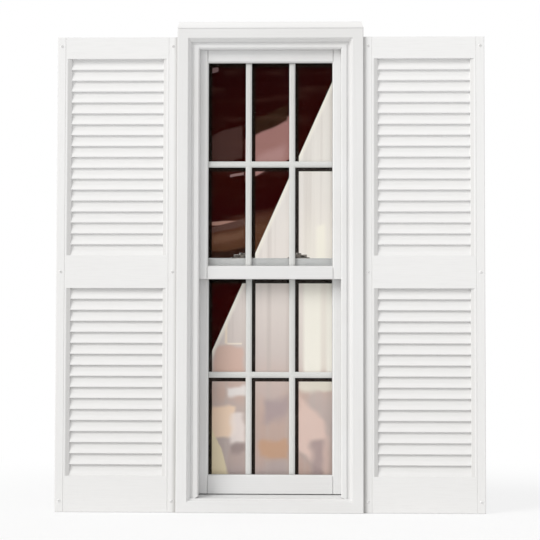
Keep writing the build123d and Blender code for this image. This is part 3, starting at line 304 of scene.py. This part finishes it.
class Finish:
    """A node material in the making. Its coordinates are metres in the part's own frame."""

    def __init__(self, name):
        self.material = bpy.data.materials.new(name)
        self.material.use_nodes = True
        self.tree = self.material.node_tree
        self.tree.nodes.clear()
        self.output = self.tree.nodes.new("ShaderNodeOutputMaterial")
        coordinates = self.node("ShaderNodeTexCoord").outputs
        self.place = coordinates["Object"]
        self.facing = coordinates["Normal"]
        self.x, self.y, self.z = self.split(self.place)

    def node(self, kind, **inputs):
        """New node with some inputs set to values or fed by sockets."""
        made = self.tree.nodes.new(kind)
        for name, value in inputs.items():
            self.feed(made.inputs[name.replace("_", " ")], value)
        return made

    def feed(self, socket, value):
        """Link a socket to another, or set its value."""
        if isinstance(value, bpy.types.NodeSocket):
            self.tree.links.new(value, socket)
        else:
            socket.default_value = value

    def split(self, vector):
        """A vector's x, y and z."""
        return self.node("ShaderNodeSeparateXYZ", Vector=vector).outputs

    def math(self, operation, *values):
        """Math on one or two values; each further one is taken into the result."""
        made = self.tree.nodes.new("ShaderNodeMath")
        made.operation = operation
        for socket, value in zip(made.inputs, values[:2]):
            self.feed(socket, value)
        further = values[2:]
        return self.math(operation, made.outputs[0], *further) if further else made.outputs[0]

    def distance(self, value, place):
        """How far a value is from a place, to either side."""
        return self.math("ABSOLUTE", self.math("SUBTRACT", value, place))

    def span(self, value, low, high, start=0.0, end=1.0):
        """Smooth change from start at low to end at high."""
        return self.map_range(value, low, high, start, end, "SMOOTHSTEP")

    def map_range(self, value, low, high, start, end, interpolation):
        """Change from start at low to end at high, and level outside them."""
        made = self.node("ShaderNodeMapRange")
        made.interpolation_type = interpolation
        values = (value, low, high, start, end)
        names = ("Value", "From Min", "From Max", "To Min", "To Max")
        for name, given in zip(names, values):
            self.feed(made.inputs[name], given)
        return made.outputs["Result"]

    def band(self, value, rise, fall, level=1.0):
        """Up from 0 over one pair of values, and from a level back to 0 over the other."""
        risen = self.span(value, *rise)
        return self.math("MULTIPLY", risen, self.span(value, *fall, level, 0.0))

    def noise(self, scale=1.0, stretch=EVEN, detail=3.0, seed=0.0):
        """Noise over the part; stretch scales each axis and seed moves the pattern."""
        mapping = self.node("ShaderNodeMapping", Vector=self.place)
        mapping.inputs["Scale"].default_value = stretch
        mapping.inputs["Location"].default_value = (seed, seed, seed)
        made = self.node(
            "ShaderNodeTexNoise", Vector=mapping.outputs[0], Scale=scale, Detail=detail
        )
        return made.outputs["Fac"]

    def strokes(self, upright, fine, coarse, detail, seed=0.0):
        """Noise drawn out up the part or across it."""
        stretch = (fine, fine, coarse) if upright else (coarse, fine, fine)
        return self.noise(stretch=stretch, detail=detail, seed=seed)

    def mix(self, share, first, second):
        """Colour between two colours."""
        made = self.tree.nodes.new("ShaderNodeMix")
        made.data_type = "RGBA"
        self.feed(made.inputs[MIX_SHARE], share)
        self.feed(made.inputs[MIX_FIRST], opaque(first))
        self.feed(made.inputs[MIX_SECOND], opaque(second))
        return made.outputs[MIX_RESULT]

    def mix_shaders(self, share, first, second):
        """Shader between two shaders."""
        made = self.tree.nodes.new("ShaderNodeMixShader")
        for socket, value in zip(made.inputs, (share, first, second)):
            self.feed(socket, value)
        return made.outputs[0]

    def ramp(self, value, stops):
        """Colour ramp; its stops are (value, colour)."""
        low, high = stops[0][0], stops[-1][0]
        share = self.map_range(value, low, high, 0.0, 1.0, "LINEAR")
        made = self.node("ShaderNodeValToRGB", Fac=share)
        points = made.color_ramp.elements
        while len(points) < len(stops):
            points.new(position=0.5)
        for point, (place, colour) in zip(points, stops):
            point.position = (place - low) / (high - low)
            point.color = opaque(colour)
        return made.outputs["Color"]

    def bump(self, height, distance, strength=1.0):
        """Normal that follows a height."""
        made = self.node("ShaderNodeBump", Height=height, Strength=strength, Distance=distance)
        return made.outputs["Normal"]

    def surface(self, **inputs):
        """Principled shader."""
        return self.node("ShaderNodeBsdfPrincipled", **inputs).outputs[0]

    def coat(self, colour, grain, roughness, depth, **inputs):
        """The finished material: its grain gives a roughness between two and the bump."""
        shader = self.surface(
            Base_Color=colour,
            Roughness=self.span(grain, *GLOSS_SPAN, *roughness),
            Normal=self.bump(grain, depth),
            **inputs,
        )
        return self.done(shader)

    def done(self, shader):
        """The finished material."""
        self.feed(self.output.inputs["Surface"], shader)
        return self.material


def opaque(colour):
    """RGB with an alpha of 1, or a socket as it is."""
    if isinstance(colour, bpy.types.NodeSocket):
        return colour
    return (*colour[:3], 1.0)


def grey(level, warmth=0.0):
    """Near-neutral colour from a linear level; warmth is the share of blue that it loses."""
    return (level, level * (1 - warmth * GREEN_LOSS), level * (1 - warmth))


def plain_finish(name):
    """Plain finish with mottled colour, uneven gloss and a fine grain."""
    light, dark, roughness, scale, stretch, depth, metallic = PLAIN_FINISHES[name]
    finish = Finish(name)
    mottle = finish.noise(scale=3.0, detail=4.0)
    grain = finish.noise(scale, stretch, detail=4.0, seed=2.0)
    share = finish.math(
        "ADD",
        finish.math("MULTIPLY", mottle, MOTTLE_WEIGHT),
        finish.math("MULTIPLY", grain, 1 - MOTTLE_WEIGHT),
    )
    colour = finish.mix(finish.span(share, *TONE_SPAN), grey(*dark), grey(*light))
    swing = (roughness - ROUGHNESS_SWING, roughness + ROUGHNESS_SWING)
    return finish.coat(colour, grain, swing, depth, Metallic=metallic)


def shutter_plastic():
    """Moulded copolymer: grain runs up the stiles and across rails and louvres."""
    finish = Finish("shutter_plastic")
    low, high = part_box("right_shutter")
    middle = (low.x + high.x) / 2
    stile = (high.x - low.x) / 2 - STILE_WIDTH
    away = finish.distance(finish.math("ABSOLUTE", finish.x), middle)
    on_stile = finish.span(away, stile - STILE_BLEND, stile)
    upright = finish.strokes(True, fine=420, coarse=14, detail=5.0)
    level = finish.strokes(False, fine=420, coarse=14, detail=5.0, seed=3.0)
    grain = finish.math(
        "ADD",
        finish.math("MULTIPLY", upright, on_stile),
        finish.math("MULTIPLY", level, finish.math("SUBTRACT", 1.0, on_stile)),
    )
    mottle = finish.noise(scale=2.2, detail=4.0, seed=5.0)
    up = finish.span(finish.z, 0.0, high.z)
    share = finish.math(
        "ADD",
        finish.math("MULTIPLY", up, 1 - SHUTTER_MOTTLE),
        finish.math("MULTIPLY", mottle, SHUTTER_MOTTLE),
    )
    colour = finish.mix(share, grey(0.80, warmth=0.012), grey(0.87, warmth=0.004))
    hollows = finish.span(grain, *HOLLOW_SPAN, HOLLOW_SHARE, 0.0)
    colour = finish.mix(hollows, colour, grey(0.62, warmth=0.02))
    # Painted shade in the louvre fields and beside the casing, in a dark grey
    colour = finish.mix(field_shade(finish, low.y), colour, PAINTED_SHADE_TONE)
    colour = finish.mix(joint_shade(finish, low.x), colour, PAINTED_SHADE_TONE)
    return finish.coat(
        colour, grain, roughness=(0.42, 0.55), depth=0.00012, Specular_IOR_Level=0.35
    )


def field_shade(finish, face):
    """Share of painted shade in the louvre fields, by the depth behind the shutters' face."""
    depth = finish.math("SUBTRACT", finish.y, face)
    rim = finish.band(depth, *RIM_DEPTHS, RIM_SHADE)
    root = finish.band(depth, *ROOT_DEPTHS, ROOT_SHADE)
    low_down = finish.span(finish.z, *FIELD_SPLIT, *CREASE_SHADE)
    crease = finish.math("MULTIPLY", finish.band(depth, *CREASE_DEPTHS), low_down)
    painted_shade = finish.math("ADD", root, crease, rim)
    on_front = finish.math("LESS_THAN", finish.split(finish.facing)["Y"], 0.0)
    return finish.math("MULTIPLY", painted_shade, on_front)


def joint_shade(finish, edge):
    """Share of painted shade on the shutters beside the casing, at edge from the middle."""
    away = finish.math("SUBTRACT", finish.math("ABSOLUTE", finish.x), edge)
    reach = finish.span(finish.z, *JOINT_FOOT, *JOINT_REACH)
    near = finish.span(finish.math("DIVIDE", away, reach), JOINT_FULL, 1.0, 1.0, 0.0)
    return finish.math("MULTIPLY", near, finish.span(finish.z, *JOINT_FOOT, *JOINT_SHADE))


def brushed_paint(name, upright, level=0.80):
    """Satin paint with faint brush marks along the member."""
    finish = Finish(name)
    strokes = finish.strokes(upright, fine=260, coarse=6, detail=5.0)
    mottle = finish.noise(scale=2.5, detail=4.0, seed=4.0)
    dark, light = grey(level - PAINT_MOTTLE, warmth=0.01), grey(level, warmth=0.004)
    colour = finish.mix(finish.span(mottle, *TONE_SPAN), dark, light)
    marks = finish.span(strokes, *STROKE_SPAN, STROKE_SHARE, 0.0)
    colour = finish.mix(marks, colour, grey(level - STROKE_DARKER, warmth=0.02))
    return finish.coat(
        colour, strokes, roughness=(0.34, 0.48), depth=0.00008, Specular_IOR_Level=0.35
    )


def extruded_vinyl(name, upright, level=0.79):
    """Smooth extruded vinyl with die lines along the bar."""
    finish = Finish(name)
    lines = finish.strokes(upright, fine=900, coarse=2, detail=2.0)
    mottle = finish.noise(scale=4.0, detail=3.0, seed=6.0)
    dark, light = grey(level - VINYL_MOTTLE, warmth=0.012), grey(level)
    colour = finish.mix(finish.span(mottle, *TONE_SPAN), dark, light)
    return finish.coat(
        colour, lines, roughness=(0.24, 0.36), depth=0.00002, Specular_IOR_Level=0.4
    )


def clear_glass():
    """Clear pane: what lies behind shows, with a faint reflection."""
    finish = Finish("clear_glass")
    ripple = finish.noise(scale=6.0, detail=1.0)
    normal = finish.bump(ripple, distance=0.0004, strength=0.3)
    through = finish.node("ShaderNodeBsdfTransparent", Color=(0.988, 0.992, 0.99, 1.0))
    shine = finish.node("ShaderNodeBsdfGlossy", Roughness=0.03, Normal=normal)
    mirrored = finish.node("ShaderNodeFresnel", IOR=1.08, Normal=normal)
    sockets = (made.outputs[0] for made in (mirrored, through, shine))
    return finish.done(finish.mix_shaders(*sockets))


def box_mask(finish, centre, half, low, high):
    """1 inside an upright rectangle of the glass, 0 outside."""
    return finish.math(
        "MULTIPLY",
        finish.math("LESS_THAN", finish.distance(finish.x, centre), half),
        finish.math("GREATER_THAN", finish.z, low),
        finish.math("LESS_THAN", finish.z, high),
    )


def drifted(finish, value, scale, reach, seed):
    """A coordinate pushed about by slow noise, so that edges drawn on it aren't straight."""
    push = finish.math("SUBTRACT", finish.noise(scale, detail=1.5, seed=seed), NOISE_MIDDLE)
    return finish.math("ADD", value, finish.math("MULTIPLY", push, reach))


def add_shape(finish, under, place, shape, strength=1.0):
    """Lay one surface over what is seen beside it."""
    across, height = place
    x, z, rise, depth, left, right, soft, colour = shape
    edge = finish.math("ADD", z - rise * x, finish.math("MULTIPLY", across, rise))
    below = finish.math("SUBTRACT", edge, height)
    upright = finish.band(below, (-soft / 2, soft / 2), (depth - soft, depth), strength)
    level = finish.band(across, (left, left + soft), (right - soft, right))
    return finish.mix(finish.math("MULTIPLY", upright, level), under, colour)


def room_view(finish):
    """Dim room with a few lit surfaces."""
    place = (finish.x, drifted(finish, finish.z, scale=9.0, reach=0.03, seed=7.0))
    slanted = finish.math("SUBTRACT", place[1], finish.math("MULTIPLY", finish.x, ROOM_SLOPE))
    room = finish.ramp(slanted, ROOM_TONES)
    for shape in ROOM_SHAPES:
        room = add_shape(finish, room, place, shape)
    streaks = finish.noise(stretch=(6, 1, 34), detail=3.0, seed=9.0)
    return finish.mix(finish.span(streaks, *STREAK_SPAN, 0.0, STREAK_SHARE), room, ROOM_STREAK)


def curtain_view(finish, side):
    """Pale curtain in soft folds, lighter along its edge and on the right."""
    curtain = finish.ramp(finish.z, CURTAIN_TONES)
    patches = finish.noise(stretch=(9, 1, 6), detail=1.0, seed=12.0)
    low_down = finish.span(finish.z, *BLUSH_HEIGHTS, BLUSH_SHARE, 0.0)
    blush = finish.math("MULTIPLY", low_down, finish.span(patches, *BLUSH_SPAN))
    curtain = finish.mix(blush, curtain, CURTAIN_BLUSH)
    folds = finish.noise(stretch=(48, 1, 0.8), detail=2.0, seed=1.0)
    curtain = finish.mix(finish.span(folds, *FOLD_SPAN, 0.0, FOLD_SHARE), curtain, CURTAIN_FOLD)
    across = drifted(finish, finish.x, scale=16.0, reach=0.045, seed=21.0)
    height = drifted(finish, finish.z, scale=14.0, reach=0.06, seed=24.0)
    for shape in SOFA_SHAPES:
        curtain = add_shape(finish, curtain, (across, height), shape, SHAPE_STRENGTH)
    for shape in CURTAIN_SHAPES:
        curtain = add_shape(finish, curtain, (finish.x, finish.z), shape, SHAPE_STRENGTH)
    on_cloth = finish.span(finish.z, *CURTAIN_FOOT)
    lit = finish.math(
        "MULTIPLY",
        finish.span(finish.x, *LIT_FROM, 0.0, LIT_SHARE),
        finish.span(finish.z, *LIT_HEIGHTS, 1.0, LIT_HIGH_UP),
        on_cloth,
    )
    curtain = finish.mix(lit, curtain, CURTAIN_LIGHT)
    hem = finish.math("MULTIPLY", finish.span(side, *HEM_WIDTH, HEM_SHARE, 0.0), on_cloth)
    return finish.mix(hem, curtain, CURTAIN_LIGHT)


def glass_view(finish):
    """Colour of what the window shows, before the bars' painted shadows."""
    start, end = CURTAIN_EDGE
    run = (end - start).normalized()
    normal = Vector((-run.y, run.x))
    side = finish.math(
        "ADD",
        finish.math("MULTIPLY", finish.math("SUBTRACT", finish.x, start.x), normal.x),
        finish.math("MULTIPLY", finish.math("SUBTRACT", finish.z, start.y), normal.y),
    )
    on_curtain = finish.span(side, -EDGE_SOFT, EDGE_SOFT)
    return finish.mix(on_curtain, room_view(finish), curtain_view(finish, side))


def between(finish, value, low, high):
    """1 between two values, with soft ends."""
    return finish.band(value, (low, low + BAND_SOFT), (high - BAND_SOFT, high))


def view_glass(sash, first_edge):
    """Inner pane, with the room as its colour, painted shadows beside and below each bar and
    below first_edge, the height of the rail's lower edge."""
    finish = Finish(sash + "_view_glass")
    low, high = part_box(sash + "_gasket")
    left, right = low.x + SIGHT_LAP, high.x - SIGHT_LAP
    middle = (low.z + high.z) / 2
    lite = (right - left - (LITES_ACROSS - 1) * BAR_WIDTH) / LITES_ACROSS
    # Painted shadows: a dark band right of each stile and bar, below the rail's lower edge and
    # below the middle bar
    from_left = finish.math("MODULO", finish.math("SUBTRACT", finish.x, left), lite + BAR_WIDTH)
    dark = finish.span(from_left, BAR_SHADOW_ACROSS - BAND_SOFT, BAR_SHADOW_ACROSS, 1.0, 0.0)
    for edge in (first_edge, middle - BAR_WIDTH / 2):
        under = between(finish, finish.z, edge - BAR_SHADOW_DOWN, edge + BAR_WIDTH)
        dark = finish.math("MAXIMUM", dark, under)
    dark = finish.math("MULTIPLY", dark, BAR_SHADOW_SHARE)
    colour = finish.mix(dark, glass_view(finish), BAR_SHADOW_TONE)
    upright = between(finish, from_left, lite, lite + BAR_WIDTH)
    inside = between(finish, finish.x, left, right)
    level = between(finish, finish.z, middle - BAR_WIDTH / 2, middle + BAR_WIDTH / 2)
    bars = finish.math("MAXIMUM", finish.math("MULTIPLY", upright, inside), level)
    colour = finish.mix(bars, colour, BAR_BEHIND)
    roughness = finish.span(finish.noise(scale=9.0), *GLOSS_SPAN, *VIEW_ROUGHNESS)
    shader = finish.surface(Base_Color=colour, Roughness=roughness, Specular_IOR_Level=0.0)
    if sash == "upper":
        shader = with_lock_windows(finish, shader)
    return finish.done(shader)


def with_lock_windows(finish, tinted):
    """Leave the upper pane clear in front of the check rail and the two locks."""
    rail = finish.math("LESS_THAN", finish.z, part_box("check_rail")[1].z)
    masks = [rail]
    for side in SIDES:
        low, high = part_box(side + "_lock_base")
        middle = (low.x + high.x) / 2
        half = (high.x - low.x) / 2
        masks += [
            box_mask(finish, middle, half, low.z, low.z + LOCK_FOOT),
            box_mask(finish, middle, half - LOCK_SHOULDER, low.z, high.z),
            box_mask(finish, middle, LEVER_HALF_WIDTH, low.z, high.z + LEVER_ABOVE),
        ]
    # The locks seen through the pane are darkened by a grey: painted shade
    shade = finish.mix(rail, LOCK_SHADE, RAIL_SHADE)
    through = finish.node("ShaderNodeBsdfTransparent", Color=shade)
    return finish.mix_shaders(finish.math("MAXIMUM", *masks), tinted, through.outputs[0])


def finish_all():
    """Finishes of every CAD piece."""
    casing_up = brushed_paint("casing_paint_upright", upright=True)
    casing_level = brushed_paint("casing_paint_level", upright=False)
    frame_up = extruded_vinyl("frame_vinyl_upright", upright=True)
    frame_level = extruded_vinyl("frame_vinyl_level", upright=False)
    enamel = plain_finish("lock_enamel")
    pile = plain_finish("seal_pile")
    by_ending = {
        "_shutter": shutter_plastic(),
        "left_casing": casing_up,
        "right_casing": casing_up,
        "head_casing": casing_level,
        "bottom_casing": casing_level,
        "drip_cap": brushed_paint("cap_paint", upright=False, level=0.865),
        "left_jamb": frame_up,
        "right_jamb": frame_up,
        "head_jamb": frame_level,
        "sill": frame_level,
        "stile": extruded_vinyl("sash_vinyl_upright", upright=True),
        "rail": extruded_vinyl("sash_vinyl_level", upright=False, level=0.77),
        "outer_pane": clear_glass(),
        "upper_inner_pane": view_glass("upper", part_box("upper_gasket")[1].z - SIGHT_LAP),
        "lower_inner_pane": view_glass("lower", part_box("meeting_rail")[0].z),
        "spacer": plain_finish("spacer_aluminium"),
        "grille": plain_finish("grille_enamel"),
        "gasket": plain_finish("glazing_tape"),
        "blocks": plain_finish("block_rubber"),
        "tube": plain_finish("tube_vinyl"),
        "rod": plain_finish("rod_steel"),
        "screws": plain_finish("screw_zinc"),
        "lock_base": enamel,
        "lock_lever": enamel,
        "keeper": enamel,
        "seal": pile,
        "seals": pile,
    }
    for name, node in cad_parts.items():
        ending = next(end for end in by_ending if name.endswith(end))
        for slot in node.material_slots:
            slot.material = by_ending[ending]


def add_object(name, data):
    """New object in the scene."""
    made = bpy.data.objects.new(name, data)
    bpy.context.scene.collection.objects.link(made)
    return made


def mesh_piece(name, points, faces, material, body, node):
    """New piece that stands for a CAD node and rides with its body."""
    data = bpy.data.meshes.new(name)
    data.from_pydata(points, [], faces)
    data.materials.append(material)
    piece = add_object(name, data)
    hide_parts(node)
    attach(piece, body)
    return piece


def add_box(points, faces, low, high):
    """Add one box to a list of points and faces."""
    start = len(points)
    points += [
        (x, y, z)
        for x in (low[0], high[0])
        for y in (low[1], high[1])
        for z in (low[2], high[2])
    ]
    faces += [tuple(start + corner for corner in face) for face in BOX_FACES]


def add_tuft(points, faces, root, tip, half):
    """Add one pile tuft, a slim pyramid from its root square to its tip."""
    start = len(points)
    x, y, z = root
    points += [(x, y + a * half, z + b * half) for a, b in SQUARE]
    points.append(tip)
    corners = len(SQUARE)
    faces += [(start + a, start + (a + 1) % corners, start + corners) for a in range(corners)]


def add_rings(points, faces, rings):
    """Join rings of equal length into a skin, closed at both ends."""
    start = len(points)
    sides = len(rings[0])
    for ring in rings:
        points += ring
    for index in range(len(rings) - 1):
        first = start + index * sides
        for corner in range(sides):
            here, follower = first + corner, first + (corner + 1) % sides
            faces.append((here, follower, follower + sides, here + sides))
    faces.append(tuple(start + corner for corner in reversed(range(sides))))
    last = start + (len(rings) - 1) * sides
    faces.append(tuple(last + corner for corner in range(sides)))


def pile_seals(sash, material):
    """Pile strips down both sides of a sash: a flat backing set with leaning tufts."""
    node = sash + "_side_seals"
    low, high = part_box(node)
    stile_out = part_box(sash + "_right_stile")[1].x
    draw = random.Random(len(sash))
    points, faces = [], []
    height = high.x - stile_out
    rows = [low.y + (row + 0.5) * (high.y - low.y) / PILE_ROWS for row in range(PILE_ROWS)]
    count = int((high.z - low.z) / PILE_STEP)
    for side in (-1, 1):
        ends = sorted((side * stile_out, side * (stile_out + PILE_BACKING)))
        add_box(points, faces, (ends[0], low.y, low.z), (ends[1], high.y, high.z))
        for row in rows:
            for index in range(count):
                z = low.z + (index + 0.5) * PILE_STEP
                reach = stile_out + height * draw.uniform(*TUFT_REACH)
                lean_y = draw.uniform(-TUFT_LEAN_Y, TUFT_LEAN_Y) * PILE_STEP
                lean_z = draw.uniform(-TUFT_LEAN_Z, TUFT_LEAN_Z) * PILE_STEP
                root = (side * (stile_out + PILE_BACKING), row, z)
                tip = (side * reach, row + lean_y, z + lean_z)
                add_tuft(points, faces, root, tip, PILE_STEP * TUFT_HALF)
    mesh_piece(sash + "_pile_strips", points, faces, material, sash + "_sash", node)


def squarer(value):
    """A sine or cosine brought nearer to 1 or -1, which squares a circle off."""
    return math.copysign(abs(value) ** SEAL_POWER, value)


def bulb_seal(node, body, material):
    """Foam seal along a rail: a rounded section with a slightly uneven skin."""
    low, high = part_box(node)
    middle = (low + high) / 2
    half = (high - low) / 2
    draw = random.Random(node)
    rings = []
    for index in range(SEAL_SECTIONS + 1):
        x = low.x + (high.x - low.x) * (index / SEAL_SECTIONS)
        swell = draw.uniform(*SEAL_SWELL)
        ring = []
        for turn in SEAL_TURNS:
            y = middle.y + half.y * squarer(math.cos(turn)) * swell
            z = middle.z + half.z * squarer(math.sin(turn)) * swell
            ring.append((x, y, z))
        rings.append(ring)
    points, faces = [], []
    add_rings(points, faces, rings)
    piece = mesh_piece(node + "_foam", points, faces, material, body, node)
    piece.data.shade_smooth()


def screw_axes(node):
    """Axes (x, z) of the screws in a CAD node, from their points behind the wall's face."""
    groups = []
    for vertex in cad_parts[node].data.vertices:
        x, y, z = vertex.co
        if y < 0:
            continue
        for group in groups:
            if math.dist(group[0], (x, z)) < SCREW_APART:
                group.append((x, z))
                break
        else:
            groups.append([(x, z)])
    return [tuple((min(row) + max(row)) / 2 for row in zip(*group)) for group in groups]


def screw_point(centre, turn, radius, y):
    """A point at a radius from a screw's axis."""
    return (centre[0] + radius * math.cos(turn), y, centre[1] + radius * math.sin(turn))


def recess(radius, turn):
    """Depth of the cross recess at a point of a screw's head."""
    short, long = sorted((abs(radius * math.cos(turn)), abs(radius * math.sin(turn))))
    return RECESS_DEPTH if short < RECESS_HALF_WIDTH and long < RECESS_REACH else 0.0


def thread(turn, y):
    """Radius of a screw's thread at a place along it."""
    wave = (y / THREAD_PITCH - turn / (2 * math.pi)) % 1.0
    crest = max(0.0, 1.0 - abs(wave - 0.5) * THREAD_STEEPNESS)
    return SCREW_ROOT + THREAD_DEPTH * crest


def add_screw(points, faces, centre, front, back, face):
    """One round-headed screw: head with a cross recess, plain neck, threaded point."""
    rings = []
    for index in range(HEAD_RINGS + 1):
        radius = max(SCREW_HEAD * index / HEAD_RINGS, SCREW_HEAD * HEAD_CENTRE)
        dome = front + (face - front) * HEAD_DOME * (radius / SCREW_HEAD) ** DOME_POWER
        rings.append(
            [screw_point(centre, t, radius, dome + recess(radius, t)) for t in SCREW_TURNS]
        )
    for radius, y in ((SCREW_HEAD, face), (SCREW_NECK, face), (SCREW_NECK, -THREAD_PITCH)):
        rings.append([screw_point(centre, t, radius, y) for t in SCREW_TURNS])
    length = back + THREAD_PITCH
    steps = int(length / THREAD_PITCH * THREAD_STEPS)
    for step in range(1, steps + 1):
        y = -THREAD_PITCH + step * length / steps
        taper = min(1.0, (back - y) / SCREW_POINT + SCREW_TIP)
        rings.append([screw_point(centre, t, thread(t, y) * taper, y) for t in SCREW_TURNS])
    add_rings(points, faces, rings)


def screw_finish():
    """Painted heads on bare steel."""
    finish = Finish("painted_screw")
    grain = finish.noise(scale=700.0, detail=3.0)
    mottle = finish.span(finish.noise(scale=60.0, detail=3.0, seed=8.0), *TONE_SPAN)
    paint = finish.mix(mottle, grey(0.80, warmth=0.012), grey(0.86, warmth=0.006))
    steel = finish.mix(mottle, grey(0.40, warmth=0.04), grey(0.58, warmth=0.02))
    bare = finish.span(finish.y, *PAINT_ENDS)
    colour = finish.mix(bare, paint, steel)
    return finish.coat(colour, grain, roughness=(0.32, 0.46), depth=0.00004, Metallic=bare)


def make_shutter_screws():
    """Screws with recessed heads and threads in place of their plain solids."""
    paint = screw_finish()
    for side in SIDES:
        node = side + "_shutter_screws"
        low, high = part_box(node)
        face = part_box(side + "_shutter")[0].y
        points, faces = [], []
        for centre in screw_axes(node):
            add_screw(points, faces, centre, low.y, high.y, face)
        name = side + "_threaded_screws"
        mesh_piece(name, points, faces, paint, "frame", node)


def make_seals():
    """Soft seals in place of their plain solids."""
    pile = plain_finish("pile_wool")
    foam = plain_finish("foam_skin")
    for sash in SASHES:
        pile_seals(sash, pile)
    bulb_seal("head_seal", "upper_sash", foam)
    bulb_seal("sill_seal", "lower_sash", foam)
    bulb_seal("meeting_seal", "lower_sash", foam)


def seen_directly(tree):
    """1 for rays that come from the camera, a reflection or through glass."""
    path = tree.nodes.new("ShaderNodeLightPath")
    share = path.outputs["Is Camera Ray"]
    for name in ("Is Glossy Ray", "Is Transmission Ray"):
        largest = tree.nodes.new("ShaderNodeMath")
        largest.operation = "MAXIMUM"
        tree.links.new(share, largest.inputs[0])
        tree.links.new(path.outputs[name], largest.inputs[1])
        share = largest.outputs[0]
    return share


def make_world():
    """Plain white world, at its full level only where it is seen directly."""
    world = bpy.data.worlds.new("studio")
    world.use_nodes = True
    bpy.context.scene.world = world
    tree = world.node_tree
    background = tree.nodes["Background"]
    background.inputs["Color"].default_value = opaque(WORLD_COLOUR)
    level = tree.nodes.new("ShaderNodeMapRange")
    level.inputs["To Min"].default_value = AMBIENT
    level.inputs["To Max"].default_value = 1.0
    tree.links.new(seen_directly(tree), level.inputs["Value"])
    tree.links.new(level.outputs["Result"], background.inputs["Strength"])


def make_key():
    """One soft sun from in front, from the left and from above."""
    data = bpy.data.lights.new("key", "SUN")
    data.energy = KEY_STRENGTH
    data.angle = KEY_ANGLE
    data.color = KEY_COLOUR
    lamp = add_object("key", data)
    lamp.rotation_mode = "QUATERNION"
    lamp.rotation_quaternion = KEY_TRAVEL.normalized().to_track_quat("-Z", "Y")


def make_floor():
    """White floor that keeps the object's shadow."""
    data = bpy.data.meshes.new("floor")
    half = FLOOR_SIZE / 2
    corners = [(a * half, b * half, -FLOOR_DROP) for a, b in SQUARE]
    data.from_pydata(corners, [], [range(len(corners))])
    floor = add_object("floor", data)
    finish = Finish("floor_white")
    mottle = finish.noise(scale=0.8)
    colour = finish.mix(mottle, grey(0.90), grey(0.92))
    matt = finish.node("ShaderNodeBsdfDiffuse", Color=colour)
    glow = finish.node("ShaderNodeEmission")
    reach = finish.node("ShaderNodeVectorMath", Vector=finish.place)
    reach.operation = "LENGTH"
    lift = finish.span(reach.outputs["Value"], *FLOOR_FADE, FLOOR_LIFT, 1.0)
    seen = finish.math("MULTIPLY", seen_directly(finish.tree), lift)
    shader = finish.mix_shaders(seen, matt.outputs[0], glow.outputs[0])
    data.materials.append(finish.done(shader))


def make_camera():
    """Camera at the photograph's place and angle."""
    data = bpy.data.cameras.new("camera")
    data.lens = LENS
    data.sensor_width = SENSOR
    camera = add_object("camera", data)
    camera.location = CAMERA_PLACE
    yaw = Matrix.Rotation(-CAMERA_YAW, 4, "Z")
    pitch = Matrix.Rotation(math.pi / 2 + CAMERA_PITCH, 4, "X")
    roll = Matrix.Rotation(CAMERA_ROLL, 4, "Z")
    camera.rotation_mode = "QUATERNION"
    camera.rotation_quaternion = (yaw @ pitch @ roll).to_quaternion()
    bpy.context.scene.camera = camera


finish_all()
make_seals()
make_shutter_screws()
make_world()
make_key()
make_floor()
make_camera()
bpy.context.scene.view_settings.view_transform = "Standard"
